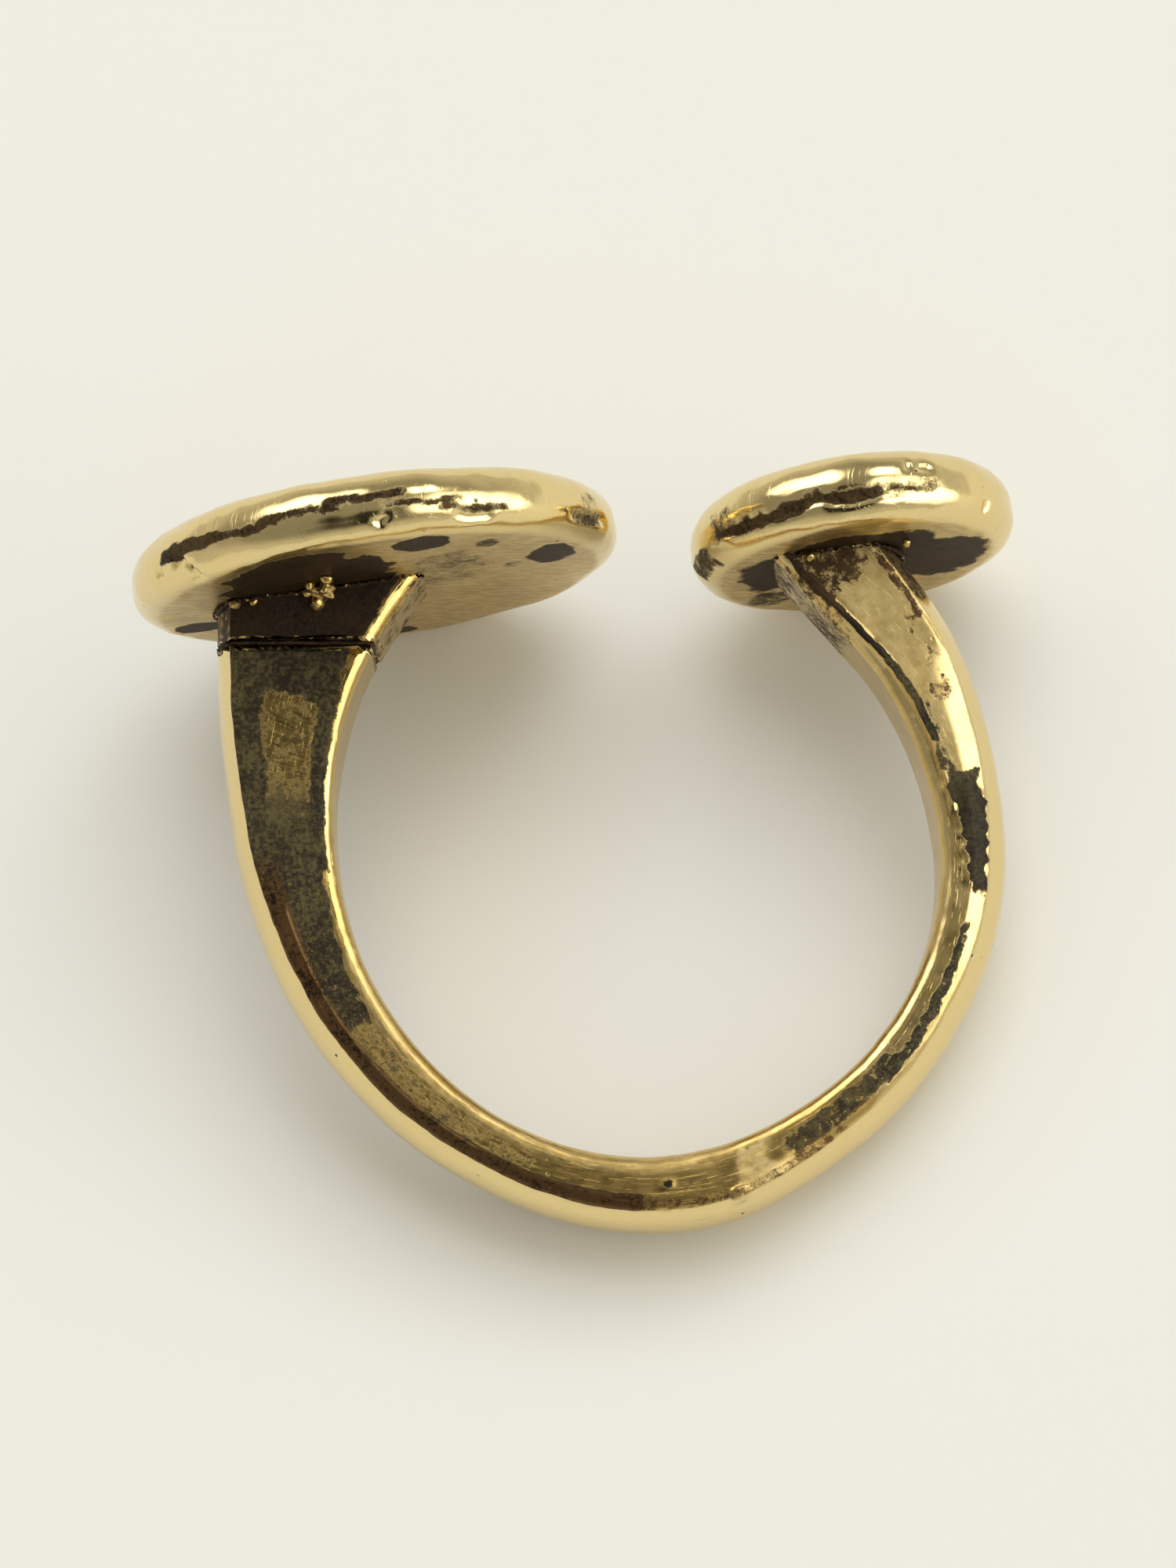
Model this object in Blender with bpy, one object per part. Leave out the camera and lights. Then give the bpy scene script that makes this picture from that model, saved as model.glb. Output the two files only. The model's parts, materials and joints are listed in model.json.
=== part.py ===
"""Open-front finger ring of brass: a tapering shank with a large and a small solid disc on its ends.

The ring is drawn in its own plane first, with the centre of the finger hole at the origin: +X to the
right, +Y from the foot of the shank towards the discs, +Z along the finger. An empty then lays it on
its side, so that it rests on the rims of both discs and on the foot of the shank, with the table at
z = 0 and the world origin under the middle of its bounding box. Lengths are in metres. Angles are in
degrees and run round the finger hole from the foot of the shank, positive towards +X.
"""

import math

import bmesh
import bpy
from mathutils import Matrix, Vector

MM = 0.001

# Finger hole and section of the shank.
HOLE_RADIUS = 8.45 * MM
SHANK_WIDTH = 3.2 * MM
DOME_RISE = 0.5 * MM
INNER_ROUND = 0.25 * MM
OUTER_ROUND = 0.12 * MM

# Stations of the shank: angle, how far the hole is out of round there, and height of the flat sides.
SHANK_STATIONS = (
    (-160, 2.60 * MM, 9.20 * MM),
    (-140, 1.42 * MM, 6.85 * MM),
    (-125, 0.93 * MM, 4.60 * MM),
    (-105, 0.32 * MM, 2.90 * MM),
    (-85, -0.07 * MM, 2.20 * MM),
    (-60, -0.27 * MM, 1.76 * MM),
    (-30, -0.17 * MM, 1.43 * MM),
    (0, 0.01 * MM, 1.52 * MM),
    (15, 0.00 * MM, 1.56 * MM),
    (30, -0.04 * MM, 1.32 * MM),
    (60, 0.04 * MM, 1.20 * MM),
    (85, 0.06 * MM, 1.38 * MM),
    (105, -0.03 * MM, 1.62 * MM),
    (125, 0.04 * MM, 2.08 * MM),
    (145, 0.32 * MM, 2.55 * MM),
    (165, 1.50 * MM, 3.40 * MM),
)
SHANK_STEP = 5
ARM_START = 60

# Discs. Their undersides clear the finger, and their rims leave the ring's front opening between them.
# A tilt leans a disc in the ring's plane, and a tip leans it out of that plane.
LARGE_RADIUS = 6.98 * MM
LARGE_THICKNESS = 2.0 * MM
LARGE_CLEARANCE = 0.33 * MM
LARGE_TILT = 8.2
LARGE_TIP = 0.0
SMALL_RADIUS = 4.65 * MM
SMALL_THICKNESS = 2.2 * MM
SMALL_CLEARANCE = -0.65 * MM
SMALL_TILT = 7.4
SMALL_TIP = -4.7
FRONT_OPENING = 1.9 * MM
OPENING_OFFSET = 1.78 * MM
TOP_ROUND = 0.9 * MM
UNDER_ROUND = 0.7 * MM
DISC_SEGMENTS = 72
ROUND_SEGMENTS = 4

# Shoulder block between the saw cut on the left arm and the large disc, a little wider than the shank.
SEAM_DROP = 2.95 * MM
SHOULDER_STEP = 0.1 * MM

# Solder: a film fills each joint between two brass pieces, and a fillet runs round it under a disc.
SOLDER_FILM = 0.1 * MM
SOLDER_CLEARANCE = 0.1 * MM
FILLET_LEG = 0.35 * MM
FILLET_EDGE = 0.06 * MM
SEAM_PROUD = 0.06 * MM

# What follows from these sizes.
SHOULDER_WIDTH = SHANK_WIDTH + 2 * SHOULDER_STEP
LARGE_UNDERSIDE = HOLE_RADIUS + LARGE_CLEARANCE
SMALL_UNDERSIDE = HOLE_RADIUS + SMALL_CLEARANCE
SEAM_HEIGHT = LARGE_UNDERSIDE - SEAM_DROP
JOINT_GAP = SOLDER_FILM + 2 * SOLDER_CLEARANCE
LARGE_ALONG = OPENING_OFFSET - FRONT_OPENING / 2 - LARGE_RADIUS
SMALL_ALONG = OPENING_OFFSET + FRONT_OPENING / 2 + SMALL_RADIUS

LEFT_END = SHANK_STATIONS[0][0]
RIGHT_END = SHANK_STATIONS[-1][0]
RIGHT = Vector((1, 0, 0))
UP = Vector((0, 1, 0))
ALONG_FINGER = Vector((0, 0, 1))
SHARP_ANGLE = math.radians(35)
SETTLING_TURNS = 12


class Seat:
    """Underside of a disc in the ring's plane, and the directions that place the disc on it."""

    def __init__(self, height, tilt, tip):
        lean = Matrix.Rotation(math.radians(tilt), 3, "Z") @ Matrix.Rotation(math.radians(tip), 3, "X")
        self.along = lean @ RIGHT
        self.normal = lean @ UP
        self.point = self.normal * height

    def below(self, depth):
        """A point of the plane that lies this far under the disc."""
        return self.point - self.normal * depth

    def place(self, along):
        """Where a disc stands whose middle is this far along the underside, with +Z as the disc's axis."""
        axes = Matrix((self.along, self.normal.cross(self.along), self.normal)).transposed()
        return Matrix.Translation(self.point + self.along * along) @ axes.to_4x4()


def clear_scene():
    """Removes whatever the scene holds."""
    for obj in list(bpy.data.objects):
        bpy.data.objects.remove(obj)


def metal(name, colour, roughness):
    """A metal with this colour and roughness."""
    made = bpy.data.materials.new(name)
    made.use_nodes = True
    shader = made.node_tree.nodes["Principled BSDF"]
    shader.inputs["Base Color"].default_value = (*colour, 1)
    shader.inputs["Metallic"].default_value = 1.0
    shader.inputs["Roughness"].default_value = roughness
    return made


def new_piece(name, shape, finish):
    """An object that holds this bmesh, shaded smooth except at its sharp edges."""
    bmesh.ops.recalc_face_normals(shape, faces=shape.faces)
    mesh = bpy.data.meshes.new(name)
    shape.to_mesh(mesh)
    shape.free()
    mesh.shade_smooth()
    mesh.set_sharp_from_angle(angle=SHARP_ANGLE)
    mesh.materials.append(finish)
    piece = bpy.data.objects.new(name, mesh)
    bpy.context.scene.collection.objects.link(piece)
    return piece


def hermite(share, start, end, slope_start, slope_end):
    """Value at this share of the way between two values that are left and reached with these slopes."""
    square, cube = share**2, share**3
    return (
        (2 * cube - 3 * square + 1) * start
        + (cube - 2 * square + share) * slope_start
        + (3 * square - 2 * cube) * end
        + (cube - square) * slope_end
    )


def shank_at(angle):
    """Radius of the hole and height of the flat sides at this angle, smoothly between the stations."""
    last = len(SHANK_STATIONS) - 1
    index = max(i for i in range(last) if SHANK_STATIONS[i][0] <= angle)
    before, start, end, after = (SHANK_STATIONS[min(max(index + i, 0), last)] for i in (-1, 0, 1, 2))
    span = end[0] - start[0]
    out_of_round, side_height = (
        hermite(
            (angle - start[0]) / span,
            start[column],
            end[column],
            (end[column] - before[column]) / (end[0] - before[0]) * span,
            (after[column] - start[column]) / (after[0] - start[0]) * span,
        )
        for column in (1, 2)
    )
    return HOLE_RADIUS + out_of_round, side_height


def polar(angle, radius, z=0.0):
    """Point at this angle and at this distance from the centre of the hole."""
    turn = math.radians(angle)
    return Vector((radius * math.sin(turn), -radius * math.cos(turn), z))


def arc(centre, radius, start, end, segments):
    """Points of an arc in a plane, from one angle to another."""
    turns = [math.radians(start + (end - start) * i / segments) for i in range(segments + 1)]
    return [(centre[0] + radius * math.cos(turn), centre[1] + radius * math.sin(turn)) for turn in turns]


def shank_section(side_height, width):
    """Outline of the shank as (height over the hole, z): flat inside, flat sides and a domed outside."""
    half = width / 2
    dome_half = half - OUTER_ROUND
    dome_radius = (dome_half**2 + DOME_RISE**2) / (2 * DOME_RISE)
    dome_turn = math.degrees(math.asin(dome_half / dome_radius))
    dome_centre = (side_height + DOME_RISE - dome_radius, 0)
    near_corner = arc((INNER_ROUND, half - INNER_ROUND), INNER_ROUND, 180, 90, 3)
    far_corner = arc((INNER_ROUND, INNER_ROUND - half), INNER_ROUND, -90, -180, 3)
    near_edge, far_edge = ((side_height - OUTER_ROUND, side * half) for side in (1, -1))
    dome = arc(dome_centre, dome_radius, dome_turn, -dome_turn, 6)
    return near_corner + [near_edge] + dome + [far_edge] + far_corner


def skin(loops):
    """A closed shape whose skin runs from loop to loop, with both ends filled."""
    shape = bmesh.new()
    rings = [[shape.verts.new(point) for point in loop] for loop in loops]
    for ring, following in zip(rings, rings[1:]):
        for i in range(len(ring)):
            shape.faces.new((ring[i - 1], ring[i], following[i], following[i - 1]))
    shape.faces.new(rings[0])
    shape.faces.new(rings[-1])
    bmesh.ops.recalc_face_normals(shape, faces=shape.faces)
    return shape


def sections(width, first, last):
    """The section of the band at each step from one angle to another, as loops of points."""
    loops = []
    for angle in range(first, last + 1, SHANK_STEP):
        hole, side_height = shank_at(angle)
        outline = shank_section(side_height, width)
        loops.append([polar(angle, hole + height, z) for height, z in outline])
    return loops


def arm_sections(width, side):
    """The sections of the arm on one side, from the middle of the band up past its disc."""
    if side < 0:
        return sections(width, LEFT_END, -ARM_START)[::-1]
    return sections(width, ARM_START, RIGHT_END)


def saw(shape, faces, point, normal):
    """Cuts off what these faces hold on the side that the normal points to, and closes the cut."""
    held = {part for face in faces for part in (face, *face.edges, *face.verts)}
    cut = bmesh.ops.bisect_plane(shape, geom=list(held), plane_co=point, plane_no=normal, clear_outer=True)
    rim = [part for part in cut["geom_cut"] if isinstance(part, bmesh.types.BMEdge)]
    bmesh.ops.contextual_create(shape, geom=rim)


def outline_on(arm, point, normal):
    """Outline of an arm where a plane cuts it, from where each of its long edges passes the plane."""
    outline = []
    for long_edge in zip(*arm):
        for start, end in zip(long_edge, long_edge[1:]):
            short, past = ((spot - point).dot(normal) for spot in (start, end))
            if short < 0 <= past:
                outline.append(start.lerp(end, short / (short - past)))
                break
    turning = sum((outline[i - 1].cross(spot) for i, spot in enumerate(outline)), Vector())
    return outline if turning.dot(normal) > 0 else outline[::-1]


def pushed_out(outline, normal, distance):
    """The outline moved outwards in its plane by this distance, measured square to its sides."""
    moved = []
    for i, spot in enumerate(outline):
        following = outline[(i + 1) % len(outline)]
        out_before = (spot - outline[i - 1]).normalized().cross(normal)
        out_after = (following - spot).normalized().cross(normal)
        moved.append(spot + (out_before + out_after) * distance / (1 + out_before.dot(out_after)))
    return moved


def make_shank(small_seat, finish):
    """The band from the saw cut on its left arm, round the finger, to the small disc."""
    band = skin(sections(SHANK_WIDTH, LEFT_END, RIGHT_END))
    left_arm = [face for face in band.faces if face.calc_center_median().x < 0]
    saw(band, left_arm, UP * SEAM_HEIGHT, UP)
    right_arm = [face for face in band.faces if face.calc_center_median().x > 0]
    saw(band, right_arm, small_seat.below(JOINT_GAP), small_seat.normal)
    return new_piece("shank", band, finish)


def make_shoulder_block(large_seat, finish):
    """The block between the saw cut and the large disc."""
    block = skin(arm_sections(SHOULDER_WIDTH, -1))
    saw(block, block.faces, UP * (SEAM_HEIGHT + JOINT_GAP), -UP)
    saw(block, block.faces, large_seat.below(JOINT_GAP), large_seat.normal)
    return new_piece("shoulder_block", block, finish)


def make_shoulder_solder(finish):
    """Film of solder in the saw cut, squeezed out a little all round."""
    middle = UP * (SEAM_HEIGHT + JOINT_GAP / 2)
    outline = pushed_out(outline_on(arm_sections(SHANK_WIDTH, -1), middle, UP), UP, SEAM_PROUD)
    film = skin([[spot + UP * side * SOLDER_FILM / 2 for spot in outline] for side in (-1, 1)])
    return new_piece("shoulder_solder", film, finish)


def make_disc_solder(name, seat, width, side, finish):
    """Solder under a disc: a film on the end of the arm, and a hollow fillet that runs down round it."""
    arm = arm_sections(width, side)
    top, foot = SOLDER_CLEARANCE, SOLDER_CLEARANCE + FILLET_LEG
    steps = (
        (top, SOLDER_CLEARANCE + FILLET_LEG),
        ((top + foot) / 2, SOLDER_CLEARANCE + (FILLET_LEG + FILLET_EDGE) / 3),
        (foot, SOLDER_CLEARANCE + FILLET_EDGE),
        (foot, SOLDER_CLEARANCE),
        (top + SOLDER_FILM, SOLDER_CLEARANCE),
    )
    outlines = [outline_on(arm, seat.below(depth), seat.normal) for depth, _ in steps]
    cup = skin([pushed_out(outline, seat.normal, out) for outline, (_, out) in zip(outlines, steps)])
    return new_piece(name, cup, finish)


def make_disc(name, radius, thickness, place, finish):
    """A solid round disc with a flat top, a flat underside and rounded rims."""
    under = arc((radius - UNDER_ROUND, UNDER_ROUND), UNDER_ROUND, -90, 0, ROUND_SEGMENTS)
    top = arc((radius - TOP_ROUND, thickness - TOP_ROUND), TOP_ROUND, 0, 90, ROUND_SEGMENTS)
    turns = [Matrix.Rotation(2 * math.pi * i / DISC_SEGMENTS, 3, "Z") for i in range(DISC_SEGMENTS)]
    turned = skin([[turn @ Vector((out, 0, height)) for turn in turns] for out, height in under + top])
    disc = new_piece(name, turned, finish)
    disc.matrix_world = place
    return disc


def corners(piece):
    """Positions of the piece's vertices in the ring's own frame."""
    return [piece.matrix_basis @ vertex.co for vertex in piece.data.vertices]


def lay_down(frame, feet):
    """Turns the frame so that the lowest points of the three pieces it rests on are level."""
    up = ALONG_FINGER
    for _ in range(SETTLING_TURNS):
        first, second, third = (min(corners(foot), key=lambda spot: spot.dot(up)) for foot in feet)
        up = (third - first).cross(second - first).normalized()
    right = (RIGHT - up * RIGHT.dot(up)).normalized()
    frame.matrix_world = Matrix((right, up.cross(right), up)).to_4x4()


def centre_on_table(frame, pieces):
    """Moves the frame so that the bounding box stands on z = 0 with its middle over the origin."""
    spots = [frame.matrix_world @ spot for piece in pieces for spot in corners(piece)]
    low_x, low_y, low_z = (min(spot[axis] for spot in spots) for axis in range(3))
    high_x, high_y = (max(spot[axis] for spot in spots) for axis in range(2))
    frame.location -= Vector(((low_x + high_x) / 2, (low_y + high_y) / 2, low_z))


def main():
    """Builds the ring and lays it on the table."""
    clear_scene()
    polished = metal("polished_brass", (0.72, 0.56, 0.28), 0.22)
    tarnished = metal("tarnished_brass", (0.45, 0.36, 0.18), 0.38)
    solder = metal("brass_solder", (0.30, 0.24, 0.15), 0.55)

    large_seat = Seat(LARGE_UNDERSIDE, LARGE_TILT, LARGE_TIP)
    small_seat = Seat(SMALL_UNDERSIDE, SMALL_TILT, SMALL_TIP)
    shank = make_shank(small_seat, tarnished)
    large_disc = make_disc(
        "large_disc", LARGE_RADIUS, LARGE_THICKNESS, large_seat.place(LARGE_ALONG), polished
    )
    small_disc = make_disc(
        "small_disc", SMALL_RADIUS, SMALL_THICKNESS, small_seat.place(SMALL_ALONG), polished
    )
    pieces = [
        shank,
        large_disc,
        small_disc,
        make_shoulder_block(large_seat, tarnished),
        make_shoulder_solder(solder),
        make_disc_solder("large_disc_solder", large_seat, SHOULDER_WIDTH, -1, solder),
        make_disc_solder("small_disc_solder", small_seat, SHANK_WIDTH, 1, solder),
    ]

    frame = bpy.data.objects.new("ring_frame", None)
    bpy.context.scene.collection.objects.link(frame)
    for piece in pieces:
        piece.parent = frame
    lay_down(frame, (large_disc, small_disc, shank))
    centre_on_table(frame, pieces)


if __name__ == "__main__":
    main()
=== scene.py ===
"""Looks of an open-front brass finger ring: a tapering shank with a large and a small disc on its ends.

The CAD ring lies on its side on a table. Each of its solids is replaced by a finely cut piece of the same
size: the shank and the shoulder block are bar stock that is bevelled, domed and bent round the finger, the
discs are turned blanks with hand-rounded rims, and the solder is a lumpy bead. Every piece is made in the
ring's own frame, with the middle of the finger hole at the origin, +X to the right, +Y from the foot of the
shank towards the discs and +Z along the finger, and is then laid where the CAD ring lies. Lengths are in
metres. Angles are in degrees and run round the hole from the foot of the shank, positive towards +X.
"""

import json
import logging
import math
from collections.abc import Callable, Iterable, Iterator, Sequence
from contextlib import contextmanager
from dataclasses import dataclass, field
from enum import Enum

import bmesh
import bpy
import numpy as np
from mathutils import Matrix, Vector, noise
from mathutils.bvhtree import BVHTree


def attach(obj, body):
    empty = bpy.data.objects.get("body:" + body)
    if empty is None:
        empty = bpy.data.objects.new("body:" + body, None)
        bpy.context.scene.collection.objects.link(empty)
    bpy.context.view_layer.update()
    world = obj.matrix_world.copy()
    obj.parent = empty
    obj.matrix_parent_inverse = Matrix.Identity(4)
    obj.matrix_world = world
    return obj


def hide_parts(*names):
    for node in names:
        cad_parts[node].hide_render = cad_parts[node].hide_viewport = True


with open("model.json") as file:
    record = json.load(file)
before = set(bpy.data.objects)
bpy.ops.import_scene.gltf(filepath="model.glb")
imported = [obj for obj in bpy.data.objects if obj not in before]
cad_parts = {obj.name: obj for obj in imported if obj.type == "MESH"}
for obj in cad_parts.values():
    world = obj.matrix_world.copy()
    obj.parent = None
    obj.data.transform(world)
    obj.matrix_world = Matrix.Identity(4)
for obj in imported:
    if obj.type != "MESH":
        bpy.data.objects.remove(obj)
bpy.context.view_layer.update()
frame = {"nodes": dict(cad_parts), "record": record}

log = logging.getLogger("finger_ring")

MM = 0.001
NEAR = 0.01 * MM
SLIVER = 0.022 * MM
HOLE_RADIUS = 8.45 * MM
BODY = "root"

Spots = np.ndarray
Edge = bmesh.types.BMEdge


class Arm(Enum):
    """Side of the ring that an arm of the shank goes up on."""

    LEFT = -1
    RIGHT = 1


class Surface(Enum):
    """Surfaces of the bent bar that a mark can be on."""

    SIDES = "both sides"
    OUTSIDE = "outside"
    INSIDE = "inside"
    ALL = "all round"


class Paint(Enum):
    """Vertex attributes that carry how a surface has aged, each from 0 to 1. Soot also carries a painted dark
    reflection on the large disc's rim.
    """

    SOOT = "soot"
    TAN = "tan"
    POLISH = "polish"
    FILED = "filed"
    SCUFFED = "scuffed"
    MOSSY = "mossy"
    RUSTY = "rusty"
    # inset: distance from the sawn edge, where a bright line is painted, partly rubbed brass and partly a painted
    # highlight.
    INSET = "inset"


class Lay(Enum):
    """Vertex attributes that carry the way the tool marks run, in metres."""

    ALONG = "along"
    OVER = "over"


# Small helpers for meshes


def smooth_step(low: float, high: float, value: Spots) -> Spots:
    """Rises smoothly from 0 at low to 1 at high."""
    share = np.clip((value - low) / (high - low), 0.0, 1.0)
    return share * share * (3.0 - 2.0 * share)


def window(value: Spots, low: float, high: float, soft: float) -> Spots:
    """1 between low and high, falling smoothly to 0 over a soft distance outside them."""
    return smooth_step(low - soft, low, value) * (1.0 - smooth_step(high, high + soft, value))


def ripple(spots: Spots, size: float, seed: float, octaves: int = 3) -> Spots:
    """Smooth noise of about -1 to 1 at each spot.

    Args:
        spots: positions, in metres.
        size: distance over which the noise changes, in metres.
        seed: shifts the noise, so that two uses of it differ.
        octaves: how many finer layers it has.

    Returns:
        One value for each spot.
    """
    moved = spots / size + seed * 17.3
    return np.array([noise.fractal(Vector(spot), 1.0, 2.0, octaves) for spot in moved])


def of_vertices(piece: bpy.types.Object, what: str) -> Spots:
    """Reads a vector of each vertex of a mesh.

    Args:
        piece: the piece to read.
        what: "co" for the positions or "normal" for the normals.

    Returns:
        The vectors, one row each.
    """
    values = np.empty(len(piece.data.vertices) * 3)
    piece.data.vertices.foreach_get(what, values)
    return values.reshape(-1, 3)


def positions(piece: bpy.types.Object) -> Spots:
    """Positions of a mesh's vertices, one row each."""
    return of_vertices(piece, "co")


def move_to(piece: bpy.types.Object, spots: Spots) -> None:
    """Puts a mesh's vertices at these positions."""
    piece.data.vertices.foreach_set("co", spots.ravel())
    piece.data.update()


def push(piece: bpy.types.Object, distance: Spots) -> None:
    """Moves each vertex along its normal by its own distance."""
    move_to(piece, positions(piece) + of_vertices(piece, "normal") * distance[:, None])


def write(piece: bpy.types.Object, name: str, values: Spots) -> None:
    """Writes a number for each vertex of a mesh as a named attribute."""
    layer = piece.data.attributes.new(name, "FLOAT", "POINT")
    layer.data.foreach_set("value", values.astype(np.float32))


def paint(piece: bpy.types.Object, coats: dict[Paint, Spots | float]) -> None:
    """Writes all the ageing attributes of a mesh.

    Args:
        piece: the piece to paint.
        coats: how much of each coat every vertex has; a coat that isn't named is left at 0.
    """
    for coat in Paint:
        amount = np.broadcast_to(coats.get(coat, 0.0), len(piece.data.vertices))
        write(piece, coat.value, np.clip(amount, 0.0, 1.0))


def lay_grain(piece: bpy.types.Object, along: Spots, over: Spots) -> None:
    """Writes how far along its tool marks, and across them, each vertex of a mesh is."""
    write(piece, Lay.ALONG.value, along)
    write(piece, Lay.OVER.value, over)


def start_fresh() -> None:
    """Leaves nothing selected, so that an operator works on the new piece only."""
    bpy.ops.object.select_all(action="DESELECT")


def pick(*pieces: bpy.types.Object) -> None:
    """Selects these pieces and nothing else, and makes the last one active.

    Args:
        pieces: the pieces to select.
    """
    start_fresh()
    for piece in pieces:
        piece.select_set(True)
    bpy.context.view_layer.objects.active = pieces[-1]


def bake_scale() -> None:
    """Puts the active piece's place and scale into its mesh."""
    bpy.ops.object.transform_apply(location=True, rotation=False, scale=True)


@contextmanager
def editing(piece: bpy.types.Object) -> Iterator[bmesh.types.BMesh]:
    """Opens a piece in edit mode with nothing selected, and closes it again.

    Args:
        piece: the piece to edit.

    Yields:
        Its mesh in edit mode.
    """
    pick(piece)
    bpy.ops.object.mode_set(mode="EDIT")
    bpy.ops.mesh.select_all(action="DESELECT")
    yield bmesh.from_edit_mesh(piece.data)
    bpy.ops.object.mode_set(mode="OBJECT")


def select_edges(piece: bpy.types.Object, wanted: Callable[[Edge], bool]) -> None:
    """Selects the edges of a piece in edit mode that pass a test, and nothing else.

    Args:
        piece: the piece being edited.
        wanted: the test.
    """
    bpy.ops.mesh.select_all(action="DESELECT")
    bpy.ops.mesh.select_mode(type="EDGE")
    for edge in bmesh.from_edit_mesh(piece.data).edges:
        if wanted(edge):
            edge.select_set(True)
    bmesh.update_edit_mesh(piece.data)


def middle(edge: Edge) -> Vector:
    """The middle of an edge."""
    return (edge.verts[0].co + edge.verts[1].co) / 2


def modify(piece: bpy.types.Object, kind: str, **settings: object) -> None:
    """Puts a modifier on a piece and applies it.

    Args:
        piece: the piece to change.
        kind: the kind of modifier.
        settings: its settings.
    """
    modifier = piece.modifiers.new(kind.lower(), kind)
    for name, value in settings.items():
        setattr(modifier, name, value)
    pick(piece)
    bpy.ops.object.modifier_apply(modifier=modifier.name)


def shade(piece: bpy.types.Object, sharp_from: float) -> None:
    """Shades a piece smooth, with edges over this many degrees kept sharp."""
    pick(piece)
    bpy.ops.object.shade_smooth_by_angle(angle=math.radians(sharp_from))


# The ring's own frame


@dataclass(frozen=True)
class Seat:
    """Plane of a disc's underside in the ring's frame.

    Attributes:
        height: distance of the plane from the middle of the finger hole.
        tilt: how far it leans in the ring's plane.
        tip: how far it leans out of that plane.
    """

    height: float
    tilt: float
    tip: float

    @property
    def lean(self) -> Matrix:
        """Turns the ring's directions into the disc's."""
        tilted = Matrix.Rotation(math.radians(self.tilt), 3, "Z")
        return tilted @ Matrix.Rotation(math.radians(self.tip), 3, "X")

    @property
    def normal(self) -> Vector:
        """Direction that the disc's top faces."""
        return self.lean @ Vector((0, 1, 0))

    def below(self, depth: float) -> Vector:
        """A point of the plane that lies this far under the disc."""
        return self.normal * (self.height - depth)

    def place(self, along: float) -> Matrix:
        """Where the disc stands, with its own +Z as its axis.

        Args:
            along: how far its middle is along the underside.

        Returns:
            The matrix that takes the disc's own frame to the ring's.
        """
        across = self.lean @ Vector((1, 0, 0))
        axes = Matrix((across, self.normal.cross(across), self.normal)).transposed()
        return Matrix.Translation(self.below(0.0) + across * along) @ axes.to_4x4()


LARGE_SEAT = Seat(height=HOLE_RADIUS + 0.33 * MM, tilt=8.2, tip=0.0)
SMALL_SEAT = Seat(height=HOLE_RADIUS - 0.65 * MM, tilt=7.4, tip=-4.7)
SEAM_HEIGHT = LARGE_SEAT.height - 2.95 * MM
JOINT_GAP = 0.3 * MM
GRIP = 0.05 * MM


def axes_from(first: Vector, second: Vector) -> Matrix:
    """A frame of three square directions, fixed by two directions that are not parallel."""
    side = first.cross(second).normalized()
    return Matrix((first.normalized(), side, first.cross(side).normalized())).transposed()


def ring_to_table(large_along: float, large_thickness: float) -> Matrix:
    """Works out how the ring lies on the table from where the tops of its two discs are.

    Args:
        large_along: place of the large disc's middle along its seat.
        large_thickness: thickness of the large disc.

    Returns:
        The matrix that takes the ring's own frame to the table's.
    """
    mounts = {mount["name"]: mount for mount in frame["record"]["mounts"]}
    large, small = mounts["large_disc_top"], mounts["small_disc_top"]
    on_table = axes_from(Vector(large["axis"]), Vector(small["axis"]))
    in_ring = axes_from(LARGE_SEAT.normal, SMALL_SEAT.normal)
    turn = (on_table @ in_ring.transposed()).to_4x4()
    top = LARGE_SEAT.place(large_along) @ Vector((0, 0, large_thickness))
    return Matrix.Translation(Vector(large["pos_m"]) - turn @ top) @ turn


def lay(piece: bpy.types.Object, place: Matrix) -> None:
    """Takes a finished piece from the ring's frame to the table, with its place in its mesh."""
    piece.data.transform(place)
    piece.data.update()


def settle(piece: bpy.types.Object, finish: bpy.types.Material, node: str) -> None:
    """Gives a finished piece its material, says what it stands for, and reports it.

    Args:
        piece: the piece.
        finish: the material for that slot.
        node: the CAD node that the piece stands for.
    """
    piece.data.materials.clear()
    piece.data.materials.append(finish)
    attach(piece, BODY)
    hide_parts(node)
    log.info("%s: %d faces, stands for %s", piece.name, len(piece.data.polygons), node)


# Marks left by making and wearing the ring


@dataclass(frozen=True)
class BandMark:
    """A mark on the bent bar, between two angles and two heights over the hole.

    Attributes:
        start, end: angles that it runs between.
        inner, outer: shares of the side's height that it lies between, 0 at the finger and 1 outside.
        amount: how strong it is, or how deep in metres for a mark in the metal.
        surface: which surface it is on.
        inner_end, outer_end: the same shares at its end, where they differ.
        soft: distance in degrees over which its ends fade.
        soft_rise: share of the height over which its sides fade.
        ragged: how ragged its outline is, 0 for a clean one.
        combed: how far its outline is drawn out into teeth across the band.
    """

    start: float
    end: float
    inner: float
    outer: float
    amount: float
    surface: Surface = Surface.SIDES
    inner_end: float | None = None
    outer_end: float | None = None
    soft: float = 3.0
    soft_rise: float = 0.08
    ragged: float = 1.0
    combed: float = 0.0

    def reach(self, angle: Spots, rise: Spots) -> Spots:
        """How much of the mark there is.

        Args:
            angle: angle of each spot.
            rise: its share of the side's height.

        Returns:
            A value from 0 to 1 for each spot.
        """
        share = np.clip((angle - self.start) / (self.end - self.start), 0.0, 1.0)
        inner_end = self.inner if self.inner_end is None else self.inner_end
        outer_end = self.outer if self.outer_end is None else self.outer_end
        inner = self.inner + (inner_end - self.inner) * share
        outer = self.outer + (outer_end - self.outer) * share
        return window(angle, self.start, self.end, self.soft) * window(rise, inner, outer, self.soft_rise)


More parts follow.
